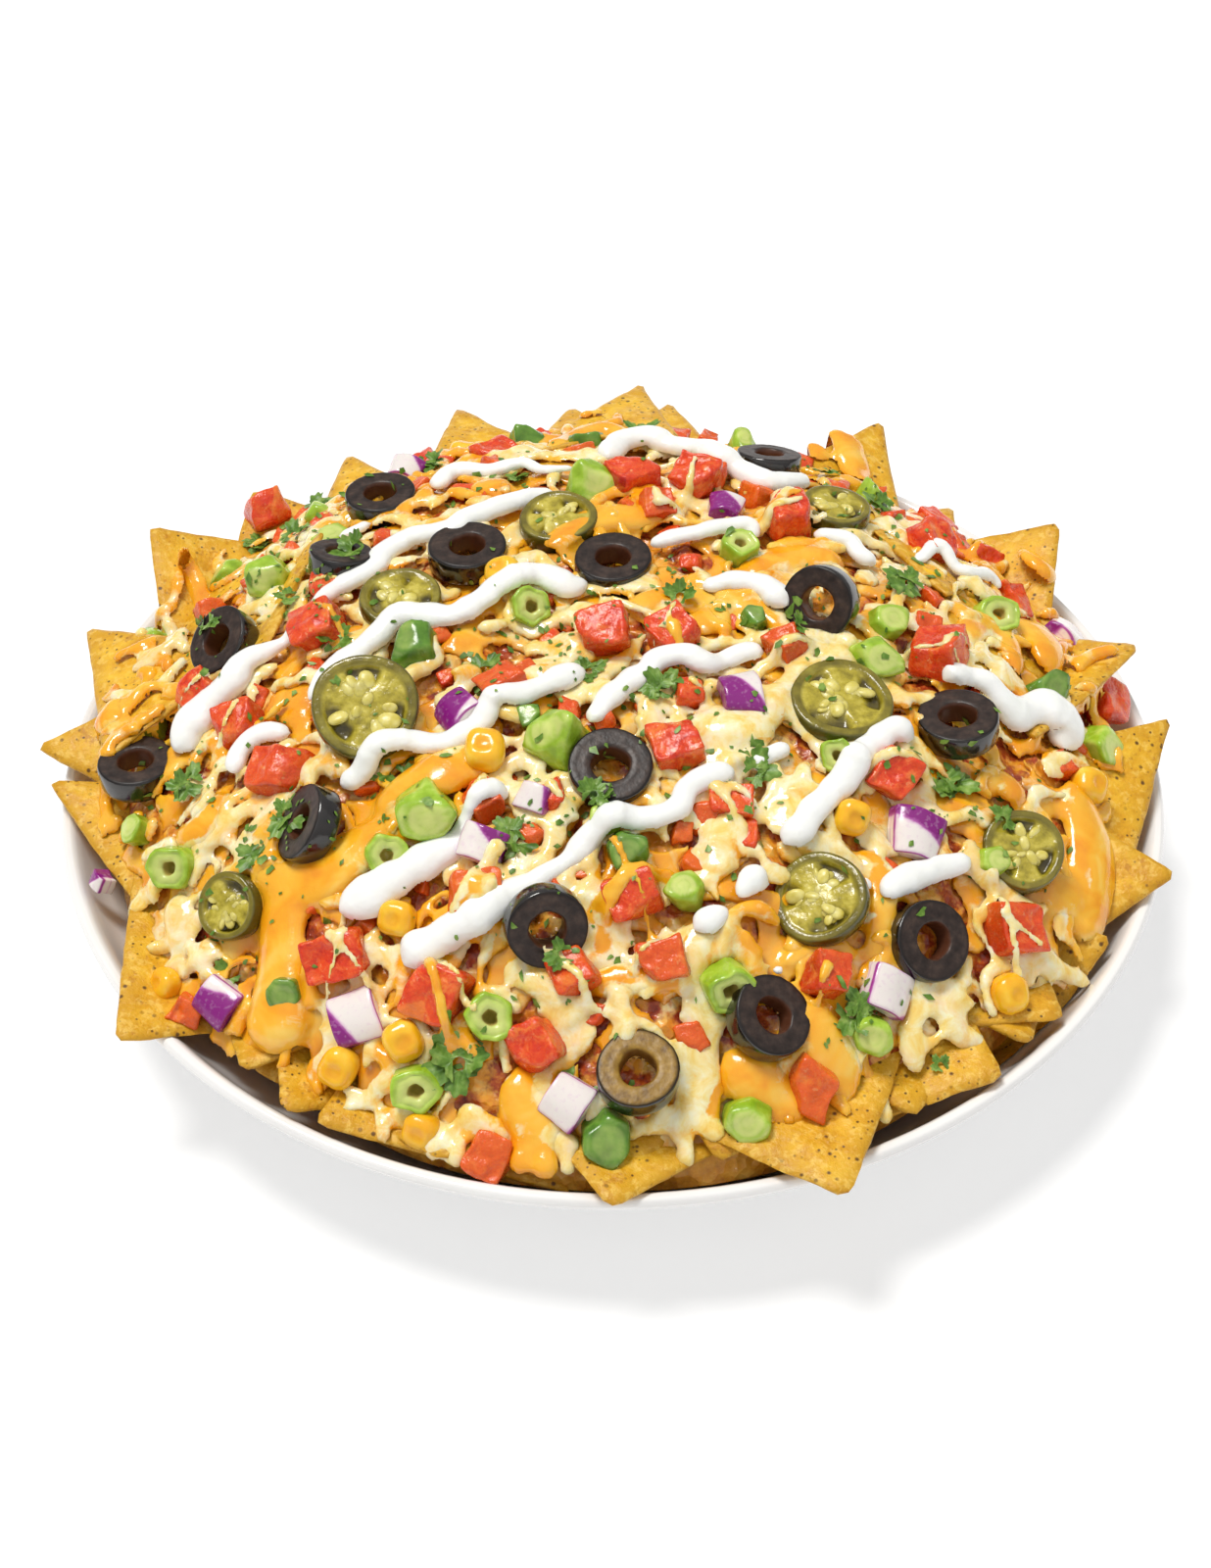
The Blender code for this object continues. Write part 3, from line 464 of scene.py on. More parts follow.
# Chips that lie tucked under the others along the near rim, listed as the chips are
TUCKED_CHIPS = [
    (735, 1187, 1.2, 705, 1150, 790, 1160),
    (935, 1140, 1.2, 880, 1120, 975, 1100),
    (1050, 1066, 1.4, 1000, 1045, 1080, 1030),
    (485, 1196, 1.2, 430, 1165, 545, 1170),
    (640, 1200, 1.0, 575, 1170, 700, 1175),
    (248, 1094, 1.4, 215, 1050, 300, 1080),
    (455, 1185, 2.0, 352, 1148, 486, 1150),
]

# Cheese that has run down to the rim: view place, width in mm and how orange it is
RIM_RUNS = [
    (443, 1184, 5, 0.1),
    (466, 1190, 6, 0.0),
    (530, 1198, 6, 0.8),
    (558, 1203, 7, 1.0),
    (580, 1200, 4, 0.2),
    (700, 1192, 5, 0.2),
    (905, 1148, 4, 0.1),
    (1000, 1088, 4, 0.1),
    (392, 1166, 4, 0.5),
]

# Rows of chips along the far rim, which the photograph doesn't show. Each has the number of chips, where
# the row starts as a share of half a turn, the shares of a step where a chip can stand, the reach of its tip,
# half the angle that it takes up, the radius and depth of its buried end, and the lowest height, the play in
# height and the bend of its tip
FAR_ROWS = [
    (15, 0.04, (0.25, 0.75), (0.119, 0.1275), (0.16, 0.26), 0.092, 0.0012, 0.0350, 0.003, (0.4, 1.0)),
    (13, 0.03, (0.3, 0.7), (0.1235, 0.1265), (0.17, 0.25), 0.100, 0.0045, 0.0285, 0.0015, (0.2, 0.5)),
]

# The bed of salsa and soaked chips that shows in the gaps. Its radii are the first, the last and how many,
# and its edge is the radius and height of its side from the top down. Its insets are where the plate shows
# between the heap and the rim: the angle round the plate, and how far the food draws back there
BED_SEGMENTS = 280
BED_RADII = (0.0009, 0.1195, 82)
BED_DEPTH = 0.0022
BED_BARE_DROP = 0.0042
BED_LUMPS = 0.0018
BED_CRUMBS = 0.0008
BED_EDGE = [
    (0.1218, 0.0282),
    (0.1230, 0.0250),
    (0.1222, 0.0236),
    (0.1150, 0.0175),
    (0.1000, 0.0100),
    (0.0600, 0.0062),
]
BED_INSETS = [
    (3.98, 0.0075), (5.45, 0.0055), (3.3, 0.0035), (6.0, 0.0035),
    (0.35, 0.0050), (0.85, 0.0065), (1.35, 0.0065), (1.85, 0.0065), (2.35, 0.0065), (2.85, 0.0050),
]
INSET_SPREAD = 0.32
INSET_LIMIT = 0.0085
INSET_START = 0.098
WALL_GAP = 0.0012

# The melted cheese: one lumpy sheet, and strands over it
CHEESE_SEED = 7
SHEET_REACH = 0.125
SHEET_STEP = 0.0011
SHEET_THICKNESS = 0.0019
WINDOW_CELL = 0.02
STRAND_REACH = 0.1235
STRAND_STEP = 0.0016
STRAND_TURN = 0.32
STRAND_DOWNHILL = 0.25
SAUCE_FLAT = 0.46
SAUCE_LIFT = 0.0006
CREAMY_FLAT = 0.55
CREAMY_LIFT = 0.0004
COLLAR_REACH = 0.121
COLLAR_WIDTHS = (0.0026, 0.0042)
DRAPE_COUNT = 46
DRAPE_REACH = 0.119
DRAPE_STEP = 0.0010
DRAPE_WIDTHS = (0.0022, 0.0044)
END_BULGE = 0.3
ORANGE_VOXEL = 0.00108
WHITE_VOXEL = 0.00094
SMOOTHINGS = 3
ORANGE_DROP = 0.0034
WHITE_DROP = 0.0020
NEAREST_SHREDS = 7

# Where the cheese lies on chips that stand out of the heap
CHIP_ZONE = 0.085
BARE_CHIP_ZONE = 0.112
CHIP_RISE = 0.02
CHIP_CAST = 0.12

# The cream
CREAM_VOXEL = 0.00066
CREAM_SMOOTHINGS = 4
CREAM_CLIMB = 0.004
CREAM_LIFT = 0.0012
CREAM_FLAT = 0.74

# The shreds over the sheet, broad flat ones and then thin ones. Each row has the number, the lengths, the
# widths, the greatest lift, the thickness as a share of the width, the place in the patch noise and its least
# value there, how near to a topping they come as a share of its radius, and how orange the cheese can be
SHREDS = [
    (110, (0.005, 0.012), (0.0050, 0.0084), 0.0005, 0.36, 9.0, -0.02, 0.95, 0.3),
    (720, (0.005, 0.015), (0.0023, 0.0044), 0.0015, 0.88, 3.0, -0.10, 0.85, 9.0),
]

# How the names of the toppings begin
TOPPING_NAMES = (
    "olive_ring",
    "pepper_slice",
    "tomato_die",
    "onion_bit",
    "small_",
    "scallion_cuts",
    "corn_kernels",
    "far_",
)

# Small pieces placed at random
BIT_COUNT = 100
BIT_REACH = 0.114
BIT_SIDES = (0.0036, 0.0078)
BIT_SPACING = 0.0055
FLECK_COUNT = 900
FAR_SCALLIONS = 5
FAR_KERNELS = 4
FAR_DICE = 6
FAR_SPRIGS = 8
FAR_AZIMUTHS = (20, 160)
FAR_RADII = (0.080, 0.113)
FAR_SPACING = 0.012
FAR_SINK = 0.0010
FAR_DIE_SINK = 0.0012
FAR_SCALLION = 0.005
FAR_KERNEL = 0.0088
FAR_DIE = 0.0095
FAR_SPRIG = 0.010

FULL_TURN = 2 * math.pi
ANY_WAY = (0, 6.28)
DOWN = Vector((0, 0, -1))
CAST_HEIGHT = 0.2


def view_axes():
    right = Vector((1, 0, 0))
    up = Vector((0, math.sin(VIEW_ELEVATION), math.cos(VIEW_ELEVATION)))
    back = Vector((0, -math.cos(VIEW_ELEVATION), math.sin(VIEW_ELEVATION)))
    return right, up, back


RIGHT, UP, BACK = view_axes()
EYE = VIEW_TARGET + BACK * VIEW_DISTANCE


def heap_height(x, y):
    """The heap's smooth top, for one place or for arrays of them."""
    reach = np.hypot(x, y - HEAP_SHIFT) / HEAP_RADIUS
    dome = HEAP_RISE * (1.0 - reach**HEAP_POWER)
    lumps = np.sin(150 * x + 1.0) * np.cos(130 * y + 0.5) + 0.7 * np.sin(210 * x - 170 * y + 2.0)
    return RIM_HEIGHT + dome + LUMP_RISE * lumps


def heap_normal(x, y):
    rise_x = float(heap_height(x + SLOPE_STEP, y) - heap_height(x - SLOPE_STEP, y))
    rise_y = float(heap_height(x, y + SLOPE_STEP) - heap_height(x, y - SLOPE_STEP))
    return Vector((-rise_x, -rise_y, 2 * SLOPE_STEP)).normalized()


def view_ray(across, down):
    ray = RIGHT * (across - VIEW_MIDDLE[0]) + UP * (VIEW_MIDDLE[1] - down) - BACK * VIEW_FOCAL
    return ray.normalized()


def at_height(across, down, height):
    """The point at this view place that is at this height."""
    ray = view_ray(across, down)
    return EYE + ray * ((height - EYE.z) / ray.z)


def on_heap(across, down, lift=0.0):
    """The point at this view place that lies lift above the heap's smooth top, or passes nearest to it."""
    ray = view_ray(across, down)
    reach = np.arange(RAY_START, RAY_END, RAY_STEP)
    spots = np.array(EYE) + reach[:, None] * np.array(ray)
    clear = spots[:, 2] - lift - heap_height(spots[:, 0], spots[:, 1])
    inside = np.hypot(spots[:, 0], spots[:, 1] - HEAP_SHIFT) < HEAP_RADIUS * EDGE_REACH
    entered = np.cumsum(inside) > 0
    hits = np.nonzero((clear < 0) & (inside | ~entered))[0]
    if len(hits):
        k = hits[0]
        part = clear[k - 1] / (clear[k - 1] - clear[k])
        return Vector(spots[k - 1] + part * (spots[k] - spots[k - 1]))
    near = np.nonzero(inside)[0]
    return Vector(spots[near[np.argmin(clear[near])]])


def leaning(facing, lean):
    """The direction of a face that looks this squarely at the view and leans this way in it."""
    side = math.sqrt(1 - facing * facing)
    angle = math.radians(lean)
    return RIGHT * (side * math.cos(angle)) + UP * (side * math.sin(angle)) + BACK * facing


def placed(centre, normal, spin=0.0):
    turn = normal.to_track_quat("Z", "Y").to_matrix().to_4x4()
    return Matrix.Translation(centre) @ turn @ Matrix.Rotation(spin, 4, "Z")


def settled(centre, lean, spin):
    """The place of a piece that lies on the heap, leaning from its slope and turned by spin."""
    return placed(centre, (heap_normal(centre.x, centre.y) + lean).normalized(), spin)


def disc_place(across, down, radius, thickness, facing, lean):
    """The place of a disc that is sunk in the heap just deep enough to stand in it."""
    normal = leaning(facing, lean)
    flat = on_heap(across, down)
    tilt = normal.angle(heap_normal(flat.x, flat.y))
    lift = SLICE_SINK * thickness + 0.5 * radius * math.sin(tilt)
    return placed(on_heap(across, down, lift), normal)


def edge_end(tip, across, down):
    """Where a chip's edge goes under the cheese, at a height that the chip can reach from its tip."""
    end = on_heap(across, down)
    height = min(max(end.z, tip.z - CHIP_DROP), tip.z + CHIP_CLIMB)
    return at_height(across, down, height)


def noise_offset(seed):
    return Vector((seed * 3.7, seed * 1.9, seed * 5.3))


def wobble(points, scale, size, seed=0.0):
    """Smooth random shifts of an array of points, one vector each."""
    offset = noise_offset(seed)
    return np.array([noise.noise_vector(Vector(point) * scale + offset) for point in points]) * size


def bumps(points, scale, seed=0.0):
    """Smooth random numbers from -1 to 1, one for each point."""
    offset = noise_offset(seed)
    return np.array([noise.noise(Vector(point) * scale + offset) for point in points])


def noise_at(x, y, z):
    return noise.noise(Vector((x, y, z)))


def ring_noise(angle, scale, z):
    """Noise that closes up round a circle."""
    return noise_at(math.cos(angle) * scale, math.sin(angle) * scale, z)


def band(first, second, sides, flip=False):
    """Faces between two rings of points that start at these numbers."""
    steps = [(i, (i + 1) % sides) for i in range(sides)]
    if flip:
        return [(first + i, second + i, second + j, first + j) for i, j in steps]
    return [(first + i, first + j, second + j, second + i) for i, j in steps]


def eased(values, reach):
    """Each value's mean with its neighbours, this many to either side."""
    padded = np.pad(values, reach, mode="edge")
    return np.array([padded[k : k + 2 * reach + 1].mean() for k in range(len(values))])


def random_lean(draw, sideways, least, most):
    """A random lean, up to this much to either side, and from least to most away from the camera."""
    return Vector((draw.uniform(-sideways, sideways), draw.uniform(least, most), 0))


def cast_down(tree, x, y):
    """The highest point of what the tree holds at this place, or None."""
    return tree.ray_cast(Vector((x, y, CAST_HEIGHT)), DOWN)[0]


class Gathered:
    """Collects many small shapes into one mesh, with a material slot per face and named values per point."""

    def __init__(self):
        self.points = []
        self.faces = []
        self.slots = []
        self.values = {}
        self.count = 0

    def add(self, points, faces, matrix=None, slot=0, **values):
        points = np.asarray(points, float)
        if matrix is not None:
            turn = np.array(matrix)
            points = points @ turn[:3, :3].T + turn[:3, 3]
        self.points.append(points)
        self.faces.extend(tuple(index + self.count for index in face) for face in faces)
        self.slots.extend([slot] * len(faces) if isinstance(slot, int) else slot)
        for name, value in values.items():
            self.values.setdefault(name, []).append((self.count, np.broadcast_to(value, len(points))))
        self.count += len(points)

    def mesh(self, name):
        mesh = bpy.data.meshes.new(name)
        mesh.from_pydata(np.concatenate(self.points).tolist(), [], self.faces)
        mesh.polygons.foreach_set("material_index", self.slots)
        mesh.polygons.foreach_set("use_smooth", [True] * len(mesh.polygons))
        for key, parts in self.values.items():
            data = np.zeros(self.count, np.float32)
            for start, value in parts:
                data[start : start + len(value)] = value
            mesh.attributes.new(key, "FLOAT", "POINT").data.foreach_set("value", data)
        return mesh

    def piece(self, name, looks, slot, nodes=(), sharp=None):
        return piece(name, self.mesh(name), looks, nodes, sharp)


def piece(name, mesh, looks, nodes=(), sharp=None):
    """A mesh put in the scene on the one body, in place of these nodes."""
    for look in looks:
        mesh.materials.append(look)
    if sharp is not None:
        mesh.set_sharp_from_angle(angle=math.radians(sharp))
    made = bpy.data.objects.new(name, mesh)
    bpy.context.scene.collection.objects.link(made)
    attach(made, "root")
    if nodes:
        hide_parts(*nodes)
    return made


# Sockets of the colour mix node, by number
MIX_SHARE = 0
MIX_FIRST = 6
MIX_SECOND = 7
MIX_RESULT = 2


class Look:
    """A material built from named parts round one Principled shader. Scales are per metre."""

    def __init__(self, name, **values):
        self.material = bpy.data.materials.new(name)
        self.material.use_nodes = True
        self.nodes = self.material.node_tree.nodes
        self.links = self.material.node_tree.links
        self.shader = self.nodes["Principled BSDF"]
        self.space = self.nodes.new("ShaderNodeTexCoord").outputs["Object"]
        for key, value in values.items():
            self.shader.inputs[key.replace("_", " ")].default_value = value

    def set(self, node, socket, value):
        if isinstance(value, bpy.types.NodeSocket):
            self.links.new(value, node.inputs[socket])
        elif isinstance(value, tuple) and len(value) == 3 and node.inputs[socket].type == "RGBA":
            node.inputs[socket].default_value = (*value, 1.0)
        else:
            node.inputs[socket].default_value = value

    def noise(self, scale, detail=2.0, rough=0.5, distortion=0.0):
        node = self.nodes.new("ShaderNodeTexNoise")
        self.set(node, "Vector", self.space)
        self.set(node, "Scale", scale)
        self.set(node, "Detail", detail)
        self.set(node, "Roughness", rough)
        self.set(node, "Distortion", distortion)
        return node.outputs["Fac"]

    def cells(self, scale):
        node = self.nodes.new("ShaderNodeTexVoronoi")
        self.set(node, "Vector", self.space)
        self.set(node, "Scale", scale)
        return node.outputs["Distance"]

    def ramp(self, value, *stops):
        """Hexadecimal colours or grey levels at places from 0 to 1."""
        node = self.nodes.new("ShaderNodeValToRGB")
        self.set(node, "Fac", value)
        elements = node.color_ramp.elements
        while len(elements) < len(stops):
            elements.new(0.5)
        for element, (place, colour) in zip(elements, stops):
            element.position = place
            element.color = (*srgb(colour), 1.0) if isinstance(colour, str) else (colour, colour, colour, 1.0)
        return node.outputs["Color"]

    def mix(self, share, first, second):
        """The first colour, with this share of the second, which can be a hexadecimal one."""
        node = self.nodes.new("ShaderNodeMix")
        node.data_type = "RGBA"
        self.set(node, MIX_SHARE, share)
        self.set(node, MIX_FIRST, first)
        self.set(node, MIX_SECOND, srgb(second) if isinstance(second, str) else second)
        return node.outputs[MIX_RESULT]

    def math(self, operation, first, second=0.0):
        node = self.nodes.new("ShaderNodeMath")
        node.operation = operation
        self.set(node, 0, first)
        self.set(node, 1, second)
        return node.outputs[0]

    def value(self, name):
        node = self.nodes.new("ShaderNodeAttribute")
        node.attribute_name = name
        return node.outputs["Fac"]

    def colour(self, source):
        self.set(self.shader, "Base Color", source)

    def rough(self, source):
        self.set(self.shader, "Roughness", source)

    def relief(self, height, strength, distance, under=None):
        node = self.nodes.new("ShaderNodeBump")
        self.set(node, "Height", height)
        node.inputs["Strength"].default_value = strength
        node.inputs["Distance"].default_value = distance
        if under is not None:
            self.links.new(under, node.inputs["Normal"])
        self.links.new(node.outputs["Normal"], self.shader.inputs["Normal"])
        return node.outputs["Normal"]

    def soft(self, weight, radius, scale):
        self.shader.inputs["Subsurface Weight"].default_value = weight
        self.shader.inputs["Subsurface Radius"].default_value = radius
        self.shader.inputs["Subsurface Scale"].default_value = scale


def srgb(code):
    """A linear colour from a hexadecimal one."""
    parts = [int(code[i : i + 2], 16) / 255 for i in (0, 2, 4)]
    return tuple(part / 12.92 if part <= 0.04045 else ((part + 0.055) / 1.055) ** 2.4 for part in parts)


# Materials


def plate_look():
    look = Look("white glaze", Roughness=0.12, IOR=1.5, Coat_Weight=0.4, Coat_Roughness=0.06)
    look.colour(look.ramp(look.noise(40, 3), (0.3, "EEEDEB"), (0.7, "F3F2F0")))
    look.relief(look.noise(60, 2), 0.08, 0.0008)
    return look.material


def chip_look():
    look = Look("corn chip", Roughness=0.5, Specular_IOR_Level=0.4)
    base = look.ramp(
        look.noise(150, 6, 0.65),
        (0.28, "C68A10"),
        (0.44, "DCA31A"),
        (0.58, "E9B62A"),
        (0.74, "F2CB48"),
    )
    toast = look.ramp(look.value("edge"), (0.7, 0.0), (1.0, 0.7))
    base = look.mix(toast, base, "C8921E")
    blister = look.ramp(look.noise(430, 4, 0.6, 0.4), (0.52, 0.0), (0.62, 1.0))
    base = look.mix(look.math("MULTIPLY", blister, 0.5), base, "F4CE66")
    scorch = look.ramp(look.noise(330, 3, 0.6), (0.60, 0.0), (0.68, 0.6))
    base = look.mix(scorch, base, "B5761A")
    for scale, size in ((300, 0.2), (520, 0.22), (190, 0.12)):
        speck = look.ramp(look.cells(scale), (size * 0.5, 1.0), (size, 0.0))
        patchy = look.ramp(look.noise(scale * 0.3, 2), (0.44, 0.0), (0.54, 1.0))
        base = look.mix(look.math("MULTIPLY", look.math("MULTIPLY", speck, patchy), 0.9), base, "4E2C0C")
    look.colour(base)
    coarse = look.relief(look.noise(270, 4, 0.6), 0.7, 0.0010)
    look.relief(look.noise(1000, 4, 0.65), 0.5, 0.0004, coarse)
    look.rough(look.ramp(look.noise(300, 3), (0.35, 0.34), (0.7, 0.6)))
    look.soft(0.08, (0.003, 0.0018, 0.0006), 0.4)
    return look.material


def bed_look():
    """What shows between the cheese: salsa, soaked chips and more cheese."""
    look = Look("salsa bed", Roughness=0.24, Specular_IOR_Level=0.5)
    salsa = look.ramp(
        look.noise(300, 5, 0.62, 0.5),
        (0.30, "5E1C0C"),
        (0.44, "98361A"),
        (0.56, "BC5522"),
        (0.68, "D4842E"),
        (0.82, "E6B46C"),
    )
    cheese = look.ramp(
        look.noise(190, 4, 0.55, 0.5),
        (0.32, "D98420"),
        (0.48, "EFA432"),
        (0.62, "F4C468"),
        (0.74, "F4DCA0"),
    )
    base = look.mix(look.ramp(look.noise(130, 4, 0.6), (0.44, 1.0), (0.54, 0.0)), cheese, salsa)
    crust = look.ramp(look.noise(200, 5, 0.6), (0.3, "A86C1A"), (0.5, "D0962C"), (0.7, "E8BC54"))
    look.colour(look.mix(look.ramp(look.value("rim"), (0.3, 0.0), (0.8, 0.85)), base, crust))
    coarse = look.relief(look.cells(380), 0.8, 0.0012)
    look.relief(look.noise(900, 3), 0.4, 0.0004, coarse)
    look.soft(0.12, (0.005, 0.002, 0.0008), 0.4)
    return look.material


def cheese_look(name, sunk, blush):
    look = Look(name, Roughness=0.2, Specular_IOR_Level=0.5, Coat_Weight=0.5, Coat_Roughness=0.06)
    white = look.ramp(
        look.noise(190, 5, 0.6, 0.5),
        (0.28, "F0C04A"),
        (0.40, "F6D678"),
        (0.52, "FAE6A6"),
        (0.64, "FDF3CE"),
        (0.80, "F8DF8E"),
    )
    orange = look.ramp(
        look.noise(110, 2, 0.5, 0.6),
        (0.28, "EE980C"),
        (0.46, "F8AC18"),
        (0.60, "FCBC32"),
        (0.76, "FDD060"),
    )
    rosy = look.ramp(look.noise(95, 4, 0.6, 0.6), (0.50, 0.0), (0.66, blush))
    white = look.mix(rosy, white, "F4AE4C")
    swirl = look.math("MULTIPLY", look.math("SUBTRACT", look.noise(300, 4, 0.6, 0.6), 0.5), 1.2)
    share = look.ramp(look.math("ADD", look.value("gold"), swirl), (0.36, 0.0), (0.64, 1.0))
    base = look.mix(share, white, orange)
    # Painted shade: the cheese that lies low under the heap top, by its depth value, is darkened towards
    # D67C1E, as strongly as sunk says
    low_shade = look.ramp(look.value("depth"), (0.05, sunk), (0.45, 0.0))
    look.colour(look.mix(low_shade, base, "D67C1E"))
    look.relief(look.noise(420, 3, 0.55), 0.22, 0.0009)
    look.rough(look.ramp(look.noise(260, 2), (0.35, 0.10), (0.7, 0.24)))
    look.soft(0.4, (0.0045, 0.0036, 0.0014), 0.5)
    return look.material


def cream_look():
    look = Look("sour cream", Roughness=0.25, Specular_IOR_Level=0.5)
    look.colour(look.ramp(look.noise(150, 2), (0.3, "F3F5F0"), (0.7, "F9FAF6")))
    broad = look.relief(look.noise(140, 2), 0.3, 0.0016)
    look.relief(look.noise(380, 3), 0.25, 0.0008, broad)
    look.soft(0.25, (0.003, 0.003, 0.0026), 0.4)
    return look.material


def olive_skin_look():
    look = Look("olive skin", Roughness=0.16, Specular_IOR_Level=0.6, Coat_Weight=0.5, Coat_Roughness=0.1)
    look.colour(look.ramp(look.noise(300, 3), (0.35, "120E0C"), (0.7, "1F1815")))
    look.relief(look.noise(700, 3), 0.15, 0.0004)
    return look.material


def olive_flesh_look(name, dark, middle, light):
    look = Look(name, Roughness=0.38, Specular_IOR_Level=0.35)
    base = look.ramp(look.noise(380, 5, 0.6), (0.32, dark), (0.5, middle), (0.72, light))
    rim = look.ramp(look.value("edge"), (0.78, 0.0), (0.93, 0.95))
    base = look.mix(rim, base, "15100E")
    look.colour(look.mix(look.ramp(look.value("bore"), (0.3, 0.0), (0.9, 0.55)), base, "6B3A20"))
    look.relief(look.noise(900, 4), 0.3, 0.0003)
    look.soft(0.1, (0.002, 0.001, 0.0008), 0.4)
    return look.material


def pepper_look():
    look = Look("pepper flesh", Roughness=0.2, Specular_IOR_Level=0.5, Coat_Weight=0.3, Coat_Roughness=0.1)
    wall = look.ramp(look.noise(260, 4), (0.3, "665C12"), (0.55, "80741E"), (0.75, "9C9134"))
    inner = look.ramp(look.noise(340, 5, 0.6), (0.3, "86791A"), (0.5, "B4A432"), (0.7, "D6C75C"))
    base = look.mix(look.ramp(look.value("ring"), (0.74, 0.0), (0.82, 1.0)), inner, wall)
    base = look.mix(look.ramp(look.value("ring"), (0.93, 0.0), (0.985, 0.9)), base, "454410")
    # Painted shade: the sunken pockets between the webs are darkened towards 40360A
    look.colour(look.mix(look.ramp(look.value("pit"), (0.25, 0.0), (0.8, 0.92)), base, "40360A"))
    look.relief(look.noise(620, 4), 0.45, 0.0006)
    look.soft(0.25, (0.003, 0.003, 0.0006), 0.4)
    return look.material


def seed_look():
    look = Look("pepper seed", Roughness=0.3)
    look.colour(look.ramp(look.noise(500, 2), (0.3, "CDBD4E"), (0.7, "E6DA88")))
    look.relief(look.noise(900, 2), 0.2, 0.0003)
    look.soft(0.25, (0.003, 0.003, 0.001), 0.4)
    return look.material


def tomato_look():
    look = Look("tomato", Roughness=0.2, Specular_IOR_Level=0.5, Coat_Weight=0.15, Coat_Roughness=0.12)
    flesh = look.ramp(
        look.noise(300, 6, 0.66, 1.2),
        (0.28, "B81A04"),
        (0.42, "D6340C"),
        (0.54, "E24A16"),
        (0.66, "EC7034"),
        (0.80, "F4A46C"),
    )
    skin = look.ramp(look.noise(160, 3), (0.3, "B01A08"), (0.7, "D03010"))
    base = look.mix(look.ramp(look.value("skin"), (0.6, 0.0), (0.8, 1.0)), flesh, skin)
    base = look.mix(look.ramp(look.noise(90, 2), (0.45, 0.0), (0.7, 0.6)), base, "E85E1A")
    base = look.mix(look.ramp(look.noise(150, 4, 0.6, 0.8), (0.56, 0.0), (0.66, 0.5)), base, "F2983E")
    base = look.mix(look.ramp(look.noise(520, 4, 0.65), (0.62, 0.0), (0.70, 0.55)), base, "F4BC80")
    look.colour(look.mix(look.value("amber"), base, "E8761C"))
    coarse = look.relief(look.noise(330, 4, 0.6), 0.5, 0.0012)
    look.relief(look.noise(1100, 4), 0.4, 0.0004, coarse)
    look.rough(look.ramp(look.noise(420, 3), (0.35, 0.12), (0.65, 0.36)))
    look.soft(0.25, (0.006, 0.0016, 0.0005), 0.4)
    return look.material


def onion_look():
    look = Look("red onion", Roughness=0.2, Specular_IOR_Level=0.5, Coat_Weight=0.2, Coat_Roughness=0.1)
    uneven = look.math("MULTIPLY", look.math("SUBTRACT", look.noise(300, 4), 0.5), 0.5)
    layer = look.math("ADD", look.value("layer"), uneven)
    base = look.ramp(
        layer,
        (0.12, "EBE3DE"),
        (0.38, "DFC4D4"),
        (0.62, "B35CA8"),
        (0.92, "8A1C7E"),
    )
    lines = look.ramp(look.noise(900, 2), (0.55, 0.0), (0.7, 0.25))
    look.colour(look.mix(lines, base, "D9B4D0"))
    look.relief(look.noise(450, 3), 0.2, 0.0004)
    look.soft(0.3, (0.003, 0.002, 0.003), 0.4)
    return look.material


def scallion_look():
    look = Look("scallion", Roughness=0.24, Specular_IOR_Level=0.5, Coat_Weight=0.15, Coat_Roughness=0.1)
    light = look.ramp(look.noise(260, 4), (0.3, "84A61A"), (0.5, "9EC232"), (0.72, "C6DC64"))
    dark = look.ramp(look.noise(260, 4), (0.3, "44701A"), (0.55, "62902C"), (0.8, "90B048"))
    base = look.mix(look.value("dark"), light, dark)
    pale = look.ramp(look.value("core"), (0.1, 0.0), (0.5, 0.55), (0.95, 0.8))
    light_share = look.math("SUBTRACT", 1.0, look.math("MULTIPLY", look.value("dark"), 0.7))
    pale = look.math("MULTIPLY", pale, light_share)
    base = look.mix(pale, base, "DCDF8E")
    # The floor and lower wall of a scallion's hole are coloured A88A42: the colour of the food under the
    # slice, darkened as painted shade
    look.colour(look.mix(look.ramp(look.value("pith"), (0.2, 0.0), (0.9, 0.8)), base, "A88A42"))
    look.relief(look.noise(520, 4), 0.3, 0.0005)
    look.soft(0.2, (0.002, 0.003, 0.001), 0.4)
    return look.material


def corn_look():
    look = Look("corn kernel", Roughness=0.2, Specular_IOR_Level=0.5, Coat_Weight=0.25, Coat_Roughness=0.1)
    base = look.ramp(look.noise(160, 3), (0.3, "F2AA0C"), (0.55, "F9C022"), (0.75, "FFD858"))
    # Painted shade: the dimple in the kernel's top is darkened towards E08E12, most on its sloping sides
    look.colour(look.mix(look.ramp(look.value("dimple"), (0.2, 0.0), (0.7, 0.4), (1.0, 0.3)), base, "E08E12"))
    look.relief(look.noise(420, 3), 0.2, 0.0004)
    look.soft(0.3, (0.005, 0.003, 0.0006), 0.4)
    return look.material


def leaf_look():
    look = Look("herb leaf", Roughness=0.38, Specular_IOR_Level=0.4)
    base = look.ramp(look.noise(420, 3), (0.3, "44681A"), (0.5, "62882C"), (0.75, "98B45A"))
    look.colour(look.mix(look.ramp(look.value("vein"), (0.6, 0.0), (1.0, 0.5)), base, "8DBB68"))
    look.relief(look.noise(900, 3), 0.4, 0.0003)
    look.soft(0.15, (0.001, 0.002, 0.0005), 0.5)
    return look.material


# Shapes


